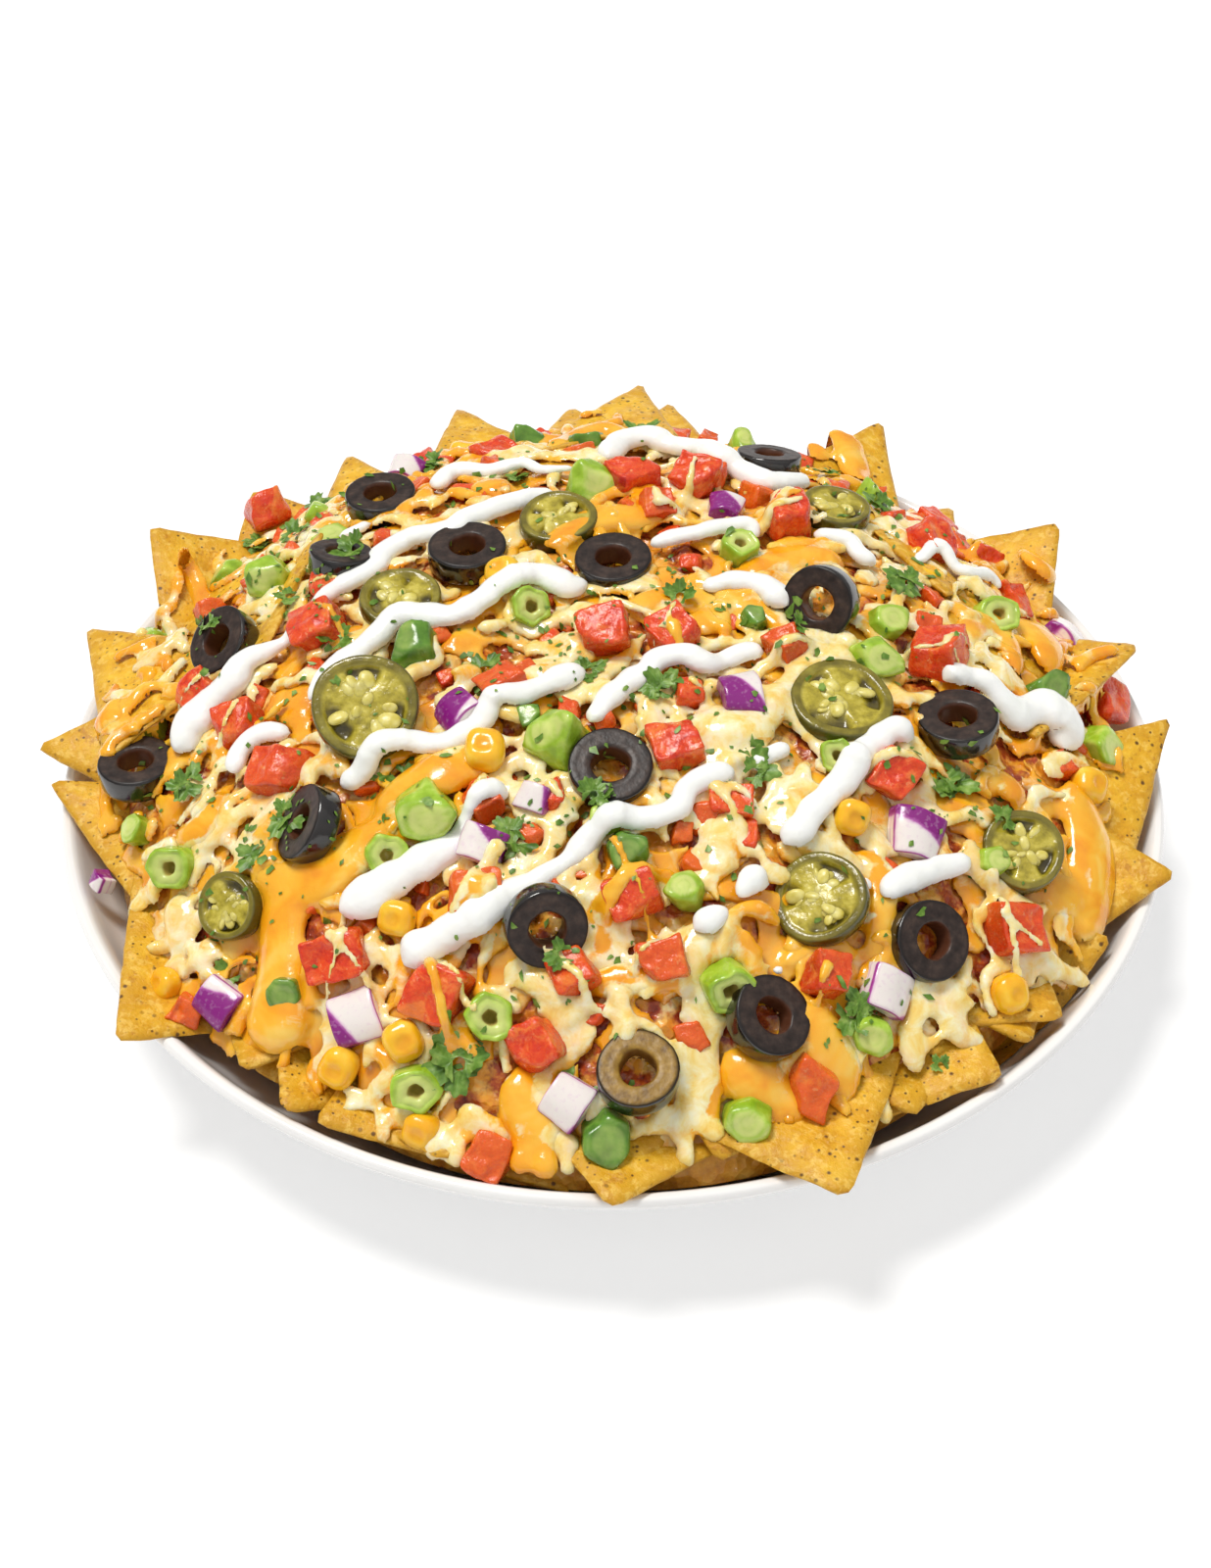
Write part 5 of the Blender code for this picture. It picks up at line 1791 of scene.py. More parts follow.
def cut_piece(ball, corners, chops, sharpness, shape):
    """A piece with flat cut faces and softened edges: the box of these corners, with a few cut away."""
    corners = np.array(corners)
    planes = []
    for side in BOX_SIDES:
        a, b, c, d = corners[list(side)]
        normal = np.cross(c - a, d - b)
        planes.append(normal / (normal @ (a + b + c + d) / 4))
    for _ in range(chops):
        corner = corners[shape.randrange(8)]
        toward = corner + np.array([shape.gauss(0, 0.22) for _ in range(3)]) * np.linalg.norm(corner)
        planes.append(toward / ((toward @ corner) * shape.uniform(0.55, 0.75)))
    return pushed_out(ball, planes, sharpness)


def tomato(made, corners, matrix, side, shape, amber=0.0, ball=FINE_BALL):
    """A cut piece of tomato with one skin side and a sunken pocket on top. amber makes it paler."""
    directions, faces = ball
    points, shares = cut_piece(directions, corners, shape.choice((1, 2, 2, 3)), shape.uniform(9, 20), shape)
    seed = shape.uniform(0, 80)
    points += wobble(points, 1.2 / side, side * 0.12, seed) + wobble(points, 3.6 / side, side * 0.05, seed)
    skin = shares[:, shape.choice((0, 1, 2, 3))]
    pocket = np.clip(shares[:, 5] - 0.6, 0, 0.4) * bumps(points, 2.4 / side, seed + 5)
    points[:, 2] += side * 0.35 * np.minimum(pocket, 0)
    made.add(points, faces, matrix, skin=skin, amber=amber)


def salsa_bits(made, toppings):
    """Small bits of tomato half under the cheese. Returns the places that show."""
    shape = random.Random(151)
    spots = []
    while len(spots) < BIT_COUNT:
        reach = BIT_REACH * math.sqrt(shape.random())
        angle = shape.uniform(-math.pi, math.pi)
        x = reach * math.cos(angle)
        y = reach * math.sin(angle) + HEAP_SHIFT
        side = shape.uniform(*BIT_SIDES)
        if noise_at(x * 45, y * 45, 41.0) < -0.12:
            continue
        taken = zip(toppings.centres, toppings.radii)
        if any(math.hypot(x - c[0], y - c[1]) < radius + side * 0.35 for c, radius in taken):
            continue
        if any(math.hypot(x - other[0], y - other[1]) < BIT_SPACING for other in spots):
            continue
        centre = Vector((x, y, float(heap_height(x, y)) - 0.0016 + side * 0.16))
        normal = (heap_normal(x, y) + random_lean(shape, 0.5, -0.5, 0.5)).normalized()
        corners = box_points(side, side * shape.uniform(0.7, 1), side * 0.7, side * 0.12, shape)
        matrix = placed(centre, normal, shape.uniform(0, 3))
        tomato(made, corners, matrix, side, shape, shape.uniform(0, 0.6), PLAIN_BALL)
        spots.append((x, y, side * shape.uniform(0.35, 0.62)))
    return spots


def tomatoes(toppings, look):
    """The tomato dice. Returns the draw that the onions go on with, and the small tomato bits so far."""
    draw = random.Random(5)
    shape = random.Random(51)
    for number, (across, down, size) in enumerate(TOMATOES, 1):
        side = size / 1000
        centre = on_heap(across, down, side * DIE_SINK)
        lean = random_lean(draw, DIE_LEAN, -DIE_LEAN, DIE_LEAN)
        matrix = settled(centre, lean, draw.uniform(0, math.pi / 2))
        corners = box_points(side, side * draw.uniform(0.85, 1.0), side * DIE_HEIGHT, side * DIE_JITTER, draw)
        amber = 0.45 if number in PALE_TOMATOES else shape.choice((0.0, 0.0, 0.12, 0.28))
        made = Gathered()
        tomato(made, corners, matrix, side, shape, amber)
        made.piece(f"tomato_die_{number:02d}", [look], "tomato", [f"tomato_{number:02d}"])
        toppings.add(centre, side * 0.52)
        toppings.dice.append((centre, side * 0.52))
    made = Gathered()
    for across, down, size in SMALL_TOMATOES:
        side = size / 1000
        centre = on_heap(across, down, side * 0.2)
        lean = random_lean(shape, 0.4, -0.4, 0.4)
        corners = box_points(side, side * 0.9, side * 0.8, side * 0.1, shape)
        amber = 0.4 if (across, down) in PALE_BITS else shape.uniform(0, 0.3)
        tomato(made, corners, settled(centre, lean, shape.uniform(0, 3)), side, shape, amber)
        toppings.add(centre, side * 0.45)
        toppings.dice.append((centre, side * 0.45))
    return draw, made


def far_tomatoes(toppings, look, places):
    shape = random.Random(131)
    made = Gathered()
    for spot in places:
        lean = random_lean(shape, 0.3, -0.3, 0.3)
        corners = box_points(FAR_DIE, 0.009, 0.008, 0.0008, shape)
        tomato(made, corners, settled(spot, lean, shape.uniform(0, 3)), FAR_DIE, shape)
        toppings.add(spot, 0.0045)
    made.piece("far_tomato_dice", [look], "heap")


def onion_mesh(made, width, matrix, purple, draw, shape):
    """A bowed, tapered piece of onion layer, purple over this share of its face and along its rim."""
    half = ONION_THICKNESS / 2
    reach = width / 2
    depth = reach * draw.uniform(0.72, 0.9)
    bow = width * ONION_BOW
    taper = draw.uniform(0.7, 0.95)
    unit = rounded_cube(CUBE_POINTS, 0.12)
    narrow = 1.0 + (taper - 1.0) * (unit[:, 1] + 1) / 2
    height = bow * (0.5 - unit[:, 0] ** 2) + unit[:, 2] * half
    points = np.stack([unit[:, 0] * reach * narrow, unit[:, 1] * depth, height], axis=1)
    seed = shape.uniform(0, 70)
    points += wobble(points, 2.0 / width, width * 0.03, seed)
    toward = shape.uniform(*ANY_WAY)
    across = (unit[:, 0] * math.cos(toward) + unit[:, 1] * math.sin(toward)) / 2.2 + 0.5
    field = np.clip((across - (1 - purple)) / 0.12, 0, 1)
    rim = np.maximum(np.abs(unit[:, 0]), np.abs(unit[:, 1])) > 0.9
    line = np.exp(-(((unit[:, 2] - 0.75) / 0.22) ** 2)) * rim
    line += 0.5 * np.exp(-(((unit[:, 2] + 0.15) / 0.12) ** 2)) * rim
    made.add(points, CUBE_FACES, matrix, layer=np.maximum(field, 0.85 * line))


def onions(draw, toppings, look):
    """The red onion pieces. draw goes on from the tomatoes."""
    shape = random.Random(61)
    for number, (across, down, size, purple) in enumerate(ONIONS, 1):
        width = size / 1000
        centre = on_heap(across, down, ONION_LIFT)
        lean = random_lean(draw, ONION_LEAN, -ONION_LEAN, 0.0)
        matrix = settled(centre, lean, draw.uniform(0, math.pi))
        made = Gathered()
        onion_mesh(made, width, matrix, purple, random.Random(draw.random()), shape)
        made.piece(f"onion_bit_{number:02d}", [look], "onion", [f"onion_{number:02d}"])
        toppings.add(centre, width * 0.42)
    made = Gathered()
    for across, down, size, purple in SMALL_ONIONS:
        width = size / 1000
        centre = on_heap(across, down, 0.0022)
        lean = random_lean(shape, 0.4, -0.5, 0)
        onion_mesh(made, width, settled(centre, lean, shape.uniform(0, 3)), purple, shape, shape)
        toppings.add(centre, width * 0.4)
    made.piece("small_onion_bits", [look], "heap")


def olive_ring(matrix, radius, shape):
    """A ring cut from an olive: slightly barrelled, faces a little dished, hole not quite round."""
    half = OLIVE_THICKNESS / 2
    hole = radius * OLIVE_HOLE
    sides = 72
    section = [
        (0.0, -0.55), (0.03, -0.86), (0.12, -0.96), (0.35, -0.93), (0.65, -0.92), (0.86, -0.95), (0.95, -0.9),
        (0.985, -0.72), (1.0, -0.3), (1.0, 0.3), (0.985, 0.72), (0.95, 0.9), (0.86, 0.95), (0.65, 0.92),
        (0.35, 0.93), (0.12, 0.96), (0.03, 0.86), (0.0, 0.55), (0.0, 0.0),
    ]
    seed = shape.uniform(0, 60)
    squash = shape.uniform(-0.05, 0.05)
    points = []
    edge = []
    bore = []
    for u, v in section:
        for i in range(sides):
            angle = FULL_TURN * i / sides
            uneven = ring_noise(angle, 1.3, seed)
            inner = hole * (1 + squash * math.cos(2 * angle) + 0.07 * uneven)
            outer = radius * (1 + 0.5 * squash * math.cos(2 * angle + 1) + 0.018 * uneven)
            reach = inner + (outer - inner) * u
            points.append((reach * math.cos(angle), reach * math.sin(angle), v * half))
            edge.append(u)
            bore.append(1 - min(1.0, u / 0.1))
    points = np.array(points)
    points += wobble(points, 900, 0.00008, seed)
    faces = []
    slots = []
    rows = len(section)
    for k in range(rows):
        m = (k + 1) % rows
        outside = section[k][0] > 0.94 and section[m][0] > 0.94
        faces += band(k * sides, m * sides, sides)
        slots += [0 if outside else 1] * sides
    made = Gathered()
    made.add(points, faces, matrix, slots, edge=np.array(edge), bore=np.array(bore))
    return made


def olives(toppings):
    skin = olive_skin_look()
    flesh = olive_flesh_look("olive flesh", "211814", "342823", "4C3C33")
    brown = olive_flesh_look("brown olive flesh", "6A4A10", "8C6A20", "A88438")
    shape = random.Random(71)
    for number, (across, down, size, facing, lean) in enumerate(OLIVES, 1):
        radius = size / 2000
        matrix = disc_place(across, down, radius, OLIVE_THICKNESS, facing, lean)
        made = olive_ring(matrix, radius, shape)
        inside = brown if number == BROWN_OLIVE else flesh
        made.piece(f"olive_ring_{number:02d}", [skin, inside], "olive", [f"olive_{number:02d}"])
        toppings.add(matrix.translation, radius * 0.86)
        toppings.bores.append((np.array(matrix.inverted()), radius * OLIVE_HOLE))


def pepper_slice(matrix, radius, shape):
    """A cut ring of pepper: a thick wall, three webs, sunken pockets and seeds."""
    half = SLICE_THICKNESS / 2
    sides = 96
    levels = [0.0, 0.1, 0.2, 0.3, 0.4, 0.5, 0.58, 0.66, 0.72, 0.77, 0.81, 0.86, 0.91, 0.95, 0.98]
    webs = [shape.uniform(0, 1.2) + FULL_TURN * k / 3 for k in range(3)]
    seed = shape.uniform(0, 90)
    points = []
    ring = []
    pit = []

    def contour(angle):
        lobes = 0.018 * math.cos(3 * (angle - webs[0])) + 0.02 * ring_noise(angle, 1.6, seed)
        return radius * (0.985 + lobes)

    for side in (1, -1):
        for level in levels:
            for i in range(sides):
                angle = FULL_TURN * i / sides
                reach = contour(angle) * level
                near_web = max(math.cos(angle - web) for web in webs)
                in_web = max(0.0, (near_web - 0.80) / 0.2)
                inward = within_one((0.79 - level) / 0.07)
                outward = within_one((level - 0.34) / 0.2)
                hollow = (1 - min(1.0, in_web * 1.6)) * inward * outward
                grain = ring_noise(angle, level * 4, seed + side)
                drop = 0.62 * hollow + 0.12 * (level < 0.78) + 0.1 * grain * (level < 0.8)
                height = half * (1 - drop) * (0.97 if level > 0.93 else 1.0)
                if level > 0.97:
                    height = half * 0.8
                points.append((reach * math.cos(angle), reach * math.sin(angle), side * height))
                ring.append(level)
                # How far into a sunken pocket a point lies, for the pockets' painted shade
                pit.append(hollow * (0.8 + 0.4 * grain))
    base = len(levels) * sides
    wall = 2 * base
    for i in range(sides):
        angle = FULL_TURN * i / sides
        reach = contour(angle)
        points.append((reach * math.cos(angle), reach * math.sin(angle), 0))
        ring.append(1.0)
        pit.append(0.0)
    faces = []
    for side in (0, 1):
        for k in range(len(levels) - 1):
            row = side * base + k * sides
            quads = band(row, row + sides, sides, flip=True)
            faces += quads if side == 0 else [quad[::-1] for quad in quads]
    last = (len(levels) - 1) * sides
    for i in range(sides):
        j = (i + 1) % sides
        faces.append((last + i, wall + i, wall + j, last + j))
        faces.append((wall + i, base + last + i, base + last + j, wall + j))
    made = Gathered()
    made.add(points, faces, matrix, 0, ring=np.array(ring), pit=np.array(pit))
    unit, seed_faces = SEED_BALL
    for k in range(18):
        web = webs[k % 3] + math.pi / 3 + shape.gauss(0, 0.5)
        reach = radius * shape.uniform(0.12, 0.54)
        size = shape.uniform(0.0010, 0.0019) * radius / 0.011
        spot = Vector((reach * math.cos(web), reach * math.sin(web), half * shape.uniform(0.35, 0.8)))
        turn = Matrix.Rotation(web + shape.gauss(0, 0.4), 4, "Z")
        turn = turn @ Matrix.Rotation(shape.gauss(0, 0.4), 4, "X")
        shaped = unit * np.array((size * 1.35, size, size * 0.55))
        made.add(shaped, seed_faces, matrix @ Matrix.Translation(spot) @ turn, 1)
    return made


def peppers(toppings):
    flesh = pepper_look()
    seeds = seed_look()
    shape = random.Random(81)
    for number, (across, down, size, facing, lean) in enumerate(PEPPERS, 1):
        radius = size / 2000
        matrix = disc_place(across, down, radius, SLICE_THICKNESS, facing, lean)
        made = pepper_slice(matrix, radius, shape)
        made.piece(f"pepper_slice_{number:02d}", [flesh, seeds], "pepper", [f"pepper_{number:02d}"])
        toppings.add(matrix.translation, radius * 0.88)


def scallion_tube(made, matrix, radius, dark, shape):
    """A short hollow cut of scallion: an angular outer tube with paler layers inside."""
    sides = 60
    half = radius * shape.uniform(0.6, 1.0)
    section = [
        (0.96, -1.0), (1.0, -0.9), (1.03, -0.4), (1.03, 0.4), (1.01, 0.86), (0.96, 0.97), (0.88, 1.0),
        (0.80, 0.98), (0.75, 0.93), (0.70, 0.97), (0.52, 0.96), (0.36, 0.92), (0.29, 0.6), (0.22, 0.2),
        (0.0, 0.1),
    ]
    corners = shape.choice((5, 6, 6, 7))
    seed = shape.uniform(0, 50)
    slant = shape.uniform(0.1, 0.32)
    squash = shape.uniform(0.78, 1.0)
    points = []
    core = []
    pith = []
    span = FULL_TURN / corners
    for k, (u, v) in enumerate(section):
        for i in range(sides):
            angle = FULL_TURN * i / sides
            facet = math.cos(span / 2) / math.cos((angle % span) - span / 2)
            uneven = 1 + 0.22 * ring_noise(angle, 1.1, seed + 0.5 * u)
            sharp = 1 - (1 - facet) * (0.55 if u > 0.5 else 0.3)
            reach = radius * u * sharp * uneven
            tilt = slant * math.cos(angle + seed) * u
            grain = 0.05 * noise_at(math.cos(angle) * 3 * u, math.sin(angle) * 3 * u, seed + 7)
            height = half * (v + (tilt + grain) * (v > 0))
            points.append((reach * math.cos(angle), squash * reach * math.sin(angle), height))
            core.append((1 - u) * 1.3 if v > 0.5 else 0.0)
            # The last rows, down in the hole, take the hole's painted shade
            pith.append(1.0 if k >= len(section) - 3 else 0.0)
    points = np.array(points)
    points += wobble(points, 420, 0.00025, seed)
    faces = []
    for k in range(len(section) - 1):
        faces += band(k * sides, (k + 1) * sides, sides)
    made.add(points, faces, matrix, 0, core=np.array(core), dark=float(dark), pith=np.array(pith))


def scallion_chunk(made, matrix, radius, dark, shape):
    """A solid cut of scallion: a stubby prism with a slanted top and softened edges."""
    directions, faces = CHUNK_BALL
    corners = shape.choice((4, 5, 6, 6))
    half = radius * shape.uniform(0.75, 1.05)
    start = shape.uniform(*ANY_WAY)
    planes = []
    for k in range(corners):
        angle = start + FULL_TURN * k / corners + shape.gauss(0, 0.09)
        reach = radius * shape.uniform(0.80, 0.98)
        planes.append(np.array((math.cos(angle), math.sin(angle), shape.gauss(0, 0.06))) / reach)
    slant = shape.uniform(*ANY_WAY)
    planes.append(np.array((0.3 * math.cos(slant), 0.3 * math.sin(slant), 1.0)) / half)
    planes.append(np.array((0, 0, -1.0)) / half)
    for _ in range(2):
        angle = shape.uniform(*ANY_WAY)
        toward = np.array((math.cos(angle), math.sin(angle), shape.uniform(0.7, 1.2)))
        planes.append(toward / (np.linalg.norm(toward) * radius * shape.uniform(0.9, 1.05)))
    points, shares = pushed_out(directions, planes, 15)
    seed = shape.uniform(0, 60)
    points += wobble(points, 1.6 / radius, radius * 0.07, seed)
    top = shares[:, corners]
    across = np.hypot(points[:, 0], points[:, 1]) / radius
    core = top * np.clip(0.85 - 0.6 * across + 0.25 * np.sin(across * 16), 0, 0.7)
    made.add(points, faces, matrix, 0, core=core, dark=float(dark), pith=0.0)


def scallions(toppings, look, places):
    shape = random.Random(91)
    made = Gathered()
    spots = []
    for across, down, size, hollow, dark in SCALLIONS:
        radius = size / 2100
        centre = on_heap(across, down, radius * 0.36)
        lean = random_lean(shape, 0.35, -0.9, 0.0)
        spots.append((centre, radius, lean, hollow, dark))
    for spot in places:
        lean = random_lean(shape, 0.3, -0.3, 0.6)
        spots.append((spot, FAR_SCALLION, lean, shape.random() < 0.4, shape.random() < 0.2))
    for centre, radius, lean, hollow, dark in spots:
        matrix = settled(centre, lean, shape.uniform(0, 6))
        if hollow:
            scallion_tube(made, matrix, radius, dark, shape)
        else:
            scallion_chunk(made, matrix, radius, dark, shape)
        toppings.add(centre, radius * 0.85)
    return made.piece("scallion_cuts", [look], "heap")


def kernels(toppings, places):
    shape = random.Random(101)
    made = Gathered()
    spots = []
    for across, down, size in KERNELS:
        width = size / 1120
        spots.append((on_heap(across, down, width * 0.24), width, random_lean(shape, 0.3, -0.7, 0.0)))
    for spot in places:
        spots.append((spot, FAR_KERNEL, random_lean(shape, 0.3, -0.2, 0.5)))
    unit = rounded_cube(CUBE_POINTS, 0.8)
    for centre, width, lean in spots:
        taper = 1 - 0.16 * (1 - unit[:, 2]) / 2
        dimple = np.exp(-(((unit[:, 0] / 0.36) ** 2 + (unit[:, 1] / 0.42) ** 2) ** 1.5)) * (unit[:, 2] > 0)
        height = unit[:, 2] * width * 0.4 - dimple * width * 0.07
        points = np.stack([unit[:, 0] * width / 2 * taper, unit[:, 1] * width * 0.46 * taper, height], axis=1)
        points += wobble(points, 2.2 / width, width * 0.035, shape.uniform(0, 50))
        made.add(points, CUBE_FACES, settled(centre, lean, shape.uniform(0, 3)), dimple=dimple)
        toppings.add(centre, width * 0.46)
    return made.piece("corn_kernels", [corn_look()], "heap")


def leaflet(made, matrix, size, shape):
    """One fan-shaped leaflet with three toothed lobes, cupped and wavy, its stalk at the origin along X."""
    steps = 54
    rings = 4
    seed = shape.uniform(0, 60)
    cup = shape.uniform(-0.5, 0.6)
    points = [(0.0, 0.0, 0.0)]
    vein = [0.6]
    for ring in range(1, rings + 1):
        level = ring / rings
        for i in range(steps + 1):
            angle = (i / steps - 0.5) * 3.9
            lobe = 0.5 + 0.5 * math.cos(3 * angle)
            teeth = 0.5 + 0.5 * math.cos(13 * angle + seed)
            reach = (0.42 + 0.40 * lobe**0.6 + 0.16 * teeth * lobe**0.3) * (1 - 0.06 * angle * angle)
            reach *= 1 + 0.22 * noise_at(angle * 1.4, seed, 3.0)
            reach = 0.12 * level + (reach - 0.12) * level
            height = cup * reach * reach * 0.4 + 0.16 * noise_at(angle * 1.7, level * 1.5, seed) * level
            points.append((reach * math.cos(angle), reach * math.sin(angle), height))
            vein.append(max(0.0, lobe - 0.9) * 8)
    faces = [(0, 1 + i, 2 + i) for i in range(steps)]
    for ring in range(rings - 1):
        a = 1 + ring * (steps + 1)
        b = a + steps + 1
        faces.extend((a + i, b + i, b + i + 1, a + i + 1) for i in range(steps))
    made.add(np.array(points) * size, faces, matrix, vein=np.array(vein))


def leaf_mesh(made, matrix, size, shape):
    """A small sprig: leaflets round a short stalk."""
    for turn in (0.0, shape.uniform(1.1, 1.5), shape.uniform(-1.5, -1.1)):
        away = Matrix.Rotation(turn + shape.gauss(0, 0.15), 4, "Z")
        stalk = Matrix.Translation((size * 0.12, 0, 0)) @ Matrix.Rotation(shape.gauss(-0.1, 0.25), 4, "Y")
        leaflet(made, matrix @ away @ stalk, size * shape.uniform(0.36, 0.5), shape)


def herb_leaves(tree, places, creamy_from):
    """Sprigs and flecks over everything. The tree's faces from creamy_from on are cream, with few flecks."""
    shape = random.Random(111)
    made = Gathered()

    def rest(spot, normal, size):
        normal = (normal + Vector((shape.uniform(-0.3, 0.3), shape.uniform(-0.4, 0.1), 0.2))).normalized()
        leaf_mesh(made, placed(spot + normal * 0.0009, normal, shape.uniform(0, 6)), size, shape)

    for across, down, size in LEAVES:
        hit, normal, _, _ = tree.ray_cast(EYE, view_ray(across, down))
        if hit is None:
            continue
        for k in range(1 if size < 8 else 2):
            shift = Vector((shape.uniform(-1, 1), shape.uniform(-1, 1), 0)) * size * 0.00022 * k
            facing = normal.lerp(heap_normal(hit.x, hit.y), 0.6)
            rest(hit + shift + Vector((0, 0, 0.0006 * k)), facing, size / 1000 * (1.15 - 0.3 * k))
    for spot in places:
        rest(cast_down(tree, spot.x, spot.y) or spot, heap_normal(spot.x, spot.y), FAR_SPRIG)
    for _ in range(FLECK_COUNT):
        near = shape.choice(LEAVES)
        spread = 26 if shape.random() < 0.5 else 130
        ray = view_ray(near[0] + shape.gauss(0, spread), near[1] + shape.gauss(0, spread))
        hit, normal, face, _ = tree.ray_cast(EYE, ray)
        if hit is None or math.hypot(hit.x, hit.y) > 0.112 or hit.z < 0.03:
            continue
        if face >= creamy_from and shape.random() < 0.9:
            continue
        size = shape.uniform(0.0004, 0.0011) * shape.choice((0.7, 1.0, 1.5))
        corners = shape.choice((4, 5, 6))
        turn = placed(hit + normal * 0.00015, normal, shape.uniform(0, 6))
        flat = [(0, 0, 0.0002)]
        for k in range(corners):
            reach = size * shape.uniform(0.5, 1.5)
            around = FULL_TURN * k / corners
            flat.append((reach * math.cos(around), 0.6 * reach * math.sin(around), 0.0001))
        made.add(flat, [(0, 1 + k, 1 + (k + 1) % corners) for k in range(corners)], turn, vein=0.0)
    return made.piece("herb_leaves", [leaf_look()], "heap")


def cream(tree, look):
    """Cream squeezed over everything, in ribbons that sag between what holds them up."""
    made = Gathered()
    shape = random.Random(121)
    for ribbon in RIBBONS:
        spots = []
        for across, down, width in ribbon:
            spot = on_heap(across, down, CREAM_LIFT)
            reach = (spot - EYE).length
            spots.append((*spot, width * reach / VIEW_FOCAL))
        line = smooth_path(spots, 6)
        tops = []
        for x, y, z, width in line:
            hit = cast_down(tree, x, y)
            tops.append(max(z, min(hit.z, z + CREAM_CLIMB)) if hit is not None else z)
        tops = np.array(tops)
        height = np.maximum(eased(tops, 3), tops - 0.001)
        widths = line[:, 3]
        seed = shape.uniform(0, 40)
        swell = np.array([1.16 + 0.3 * noise_at(x * 220, y * 220, seed) for x, y in line[:, :2]])
        shift = np.array([noise_at(x * 190, y * 190, seed + 9) for x, y in line[:, :2]]) * 0.0010
        path = np.stack([line[:, 0] + shift, line[:, 1], height + widths * 0.16], axis=1)
        tube(made, path, rounded_ends(path, widths * swell), CREAM_FLAT, 14)
    points, faces = remeshed(made, CREAM_VOXEL, CREAM_SMOOTHINGS)
    normal = face_normals(points, faces)
    points, faces = kept(points, faces, normal[:, 2] > -0.3 * np.linalg.norm(normal, axis=1))
    return skin_piece("cream_ribbons", points, faces, look)


def far_places(count, taken, draw, lift):
    """Places on the far slope that are clear of those taken, which they join."""
    places = []
    while len(places) < count:
        angle = math.radians(draw.uniform(*FAR_AZIMUTHS))
        radius = draw.uniform(*FAR_RADII)
        x = radius * math.cos(angle)
        y = radius * math.sin(angle)
        spot = Vector((x, y, float(heap_height(x, y)) + lift))
        if all((spot - Vector(other)).length > FAR_SPACING for other in taken):
            places.append(spot)
            taken.append(spot)
    return places


def tree_of(objects):
    """One ray-casting tree round several objects."""
    points = []
    faces = []
    for made in objects:
        start = len(points)
        points.extend(tuple(v.co) for v in made.data.vertices)
        faces.extend(tuple(index + start for index in polygon.vertices) for polygon in made.data.polygons)
    return BVHTree.FromPolygons(points, faces)


def camera_and_light():
    camera = bpy.data.cameras.new("camera")
    holder = bpy.data.objects.new("camera", camera)
    bpy.context.scene.collection.objects.link(holder)
    holder.location = EYE
    holder.rotation_euler = (math.pi / 2 - VIEW_ELEVATION, 0, 0)
    camera.sensor_fit = "VERTICAL"
    camera.sensor_height = SENSOR_HEIGHT
    camera.lens = VIEW_FOCAL / FRAME_HEIGHT * SENSOR_HEIGHT
    camera.clip_start = 0.01
    bpy.context.scene.camera = holder
    for name, aim, power, spread, tint in LIGHTS:
        light = bpy.data.lights.new(name, "SUN")
        light.energy = power
        light.angle = math.radians(spread)
        light.color = tint
        lamp = bpy.data.objects.new(name, light)
        bpy.context.scene.collection.objects.link(lamp)
        lamp.rotation_euler = (-Vector(aim)).to_track_quat("-Z", "Y").to_euler()
    world = bpy.data.worlds.new("studio")
    bpy.context.scene.world = world
    world.use_nodes = True
    nodes = world.node_tree.nodes
    links = world.node_tree.links
    split = nodes.new("ShaderNodeSeparateXYZ")
    fade = nodes.new("ShaderNodeValToRGB")
    fade.color_ramp.elements[0].position = 0.0
    fade.color_ramp.elements[0].color = (0.26, 0.26, 0.27, 1)
    fade.color_ramp.elements[1].position = 0.75
    fade.color_ramp.elements[1].color = (0.52, 0.52, 0.52, 1)
    links.new(nodes.new("ShaderNodeTexCoord").outputs["Generated"], split.inputs[0])
    links.new(split.outputs["Z"], fade.inputs["Fac"])
    links.new(fade.outputs["Color"], nodes["Background"].inputs["Color"])
    nodes["Background"].inputs["Strength"].default_value = 1.0
    bpy.context.scene.view_settings.view_transform = "Standard"


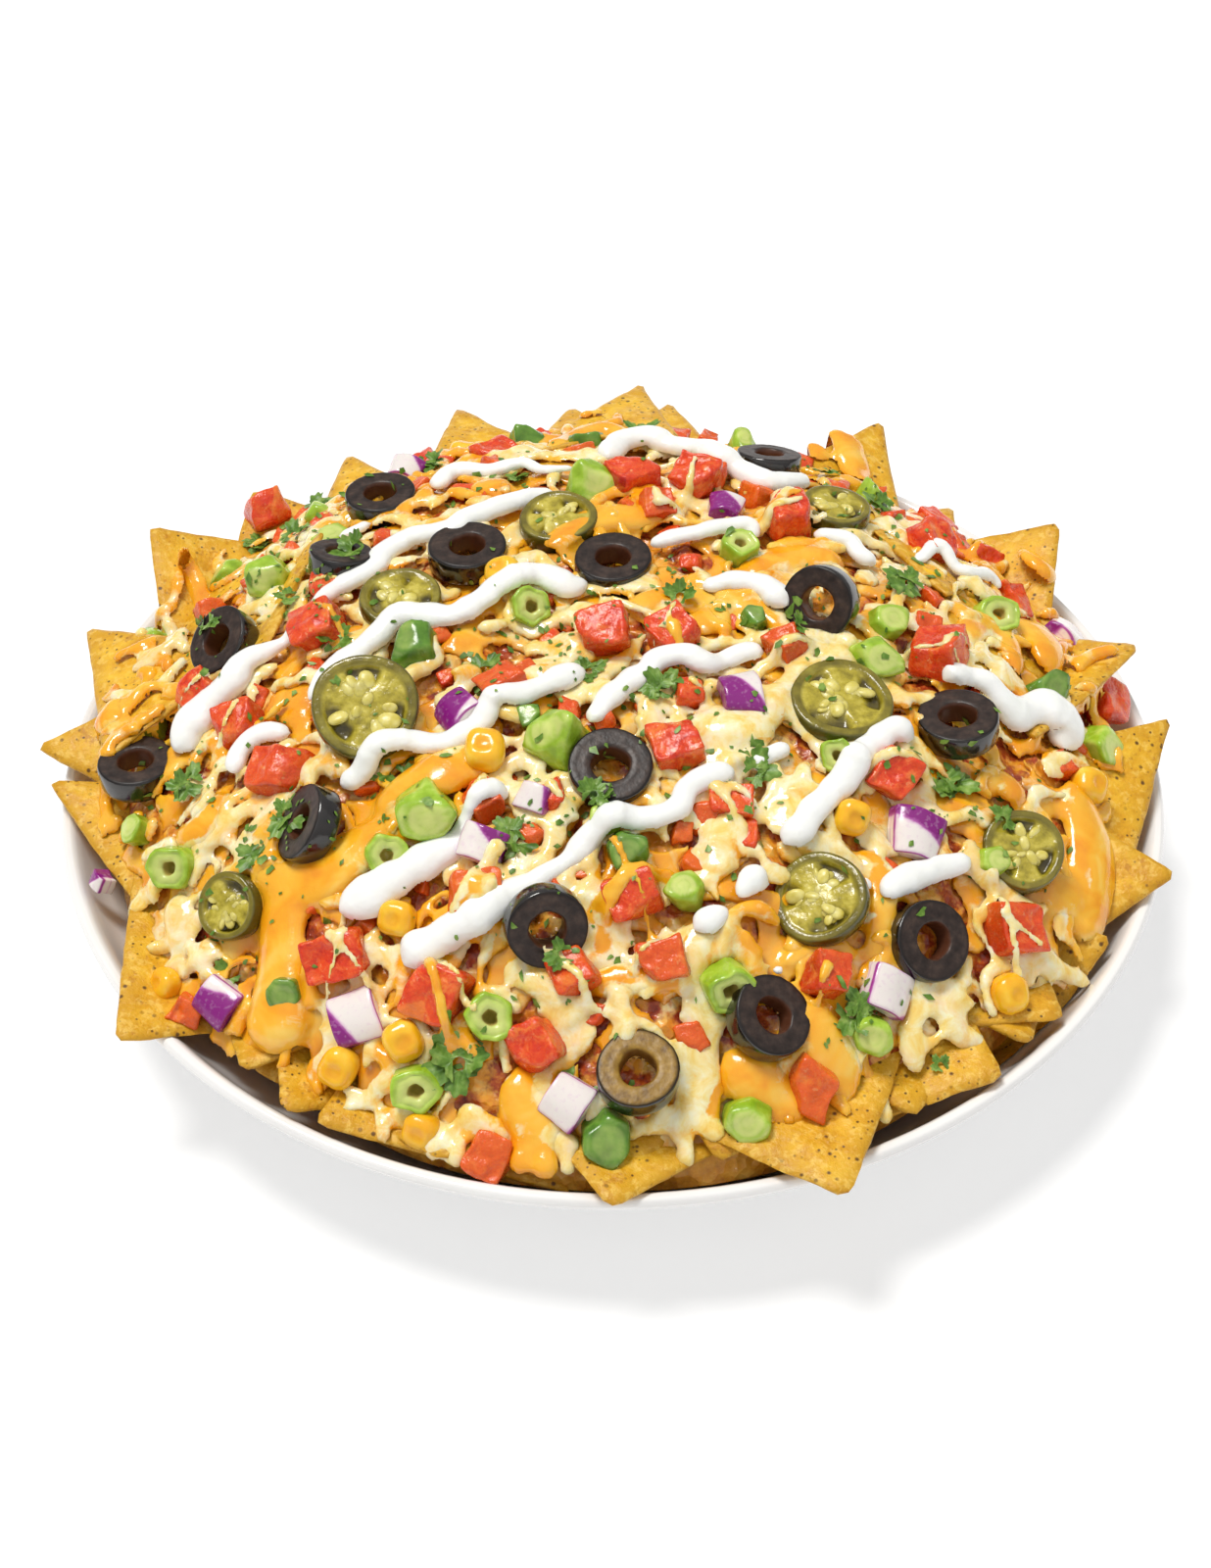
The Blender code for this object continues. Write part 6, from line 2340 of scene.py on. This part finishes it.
def studio_floor():
    made = bpy.data.meshes.new("floor")
    reach = 3.0
    corners = [(-reach, -reach, 0), (reach, -reach, 0), (reach, reach, 0), (-reach, reach, 0)]
    made.from_pydata(corners, [], [(0, 1, 2, 3)])
    look = Look("pale floor", Roughness=0.9)
    look.colour(look.ramp(look.noise(3, 2), (0.3, 0.60), (0.7, 0.61)))
    look.shader.inputs["Emission Color"].default_value = (1, 1, 1, 1)
    look.shader.inputs["Emission Strength"].default_value = 0.40
    made.materials.append(look.material)
    floor = bpy.data.objects.new("floor", made)
    bpy.context.scene.collection.objects.link(floor)


def main():
    camera_and_light()
    studio_floor()
    plate()
    base = bed()
    chip_piece = chips().piece("corn_chips", [chip_look()], "heap", sharp=60)
    ground = ground_under(tree_of([chip_piece]))
    toppings = Toppings()
    olives(toppings)
    peppers(toppings)
    red = tomato_look()
    draw, small_tomatoes = tomatoes(toppings, red)
    onions(draw, toppings, onion_look())
    far = random.Random(23)
    taken = list(toppings.centres)
    scallions(toppings, scallion_look(), far_places(FAR_SCALLIONS, taken, far, -FAR_SINK))
    kernels(toppings, far_places(FAR_KERNELS, taken, far, -FAR_SINK))
    far_tomatoes(toppings, red, far_places(FAR_DICE, taken, far, -FAR_DIE_SINK))
    bits = salsa_bits(small_tomatoes, toppings)
    small_tomatoes.piece("small_tomato_bits", [red], "heap")

    shown = [o for o in bpy.data.objects if o.name.startswith(TOPPING_NAMES)]
    melt = Melt(random.Random(CHEESE_SEED), ground, toppings)
    melt.open_windows(bits)
    melt.sheet()
    melt.view_runs(melt.under, SAUCE_RUNS, SAUCE_FLAT, 1.0, SAUCE_LIFT)
    melt.view_runs(melt.over, CREAMY_RUNS, CREAMY_FLAT, 0.0, CREAMY_LIFT)
    melt.rim_runs()
    for shreds in SHREDS:
        melt.scatter(*shreds)
    melt.collars()
    melt.drapes(tree_of(shown), toppings.dice)
    orange = cheese_look("orange cheese", 0.7, 0.4)
    gold_piece = melt.piece("orange_cheese", melt.under, ORANGE_VOXEL, orange, ORANGE_DROP)
    white = cheese_look("white cheese", 0.24, 0.34)
    pale_piece = melt.piece("white_cheese", melt.over, WHITE_VOXEL, white, WHITE_DROP)

    carried = [base, gold_piece, pale_piece, chip_piece] + shown
    cream_piece = cream(tree_of(carried), cream_look())
    creamy_from = sum(len(o.data.polygons) for o in carried)
    herb_leaves(tree_of(carried + [cream_piece]), far_places(FAR_SPRIGS, taken, far, 0.0), creamy_from)


main()
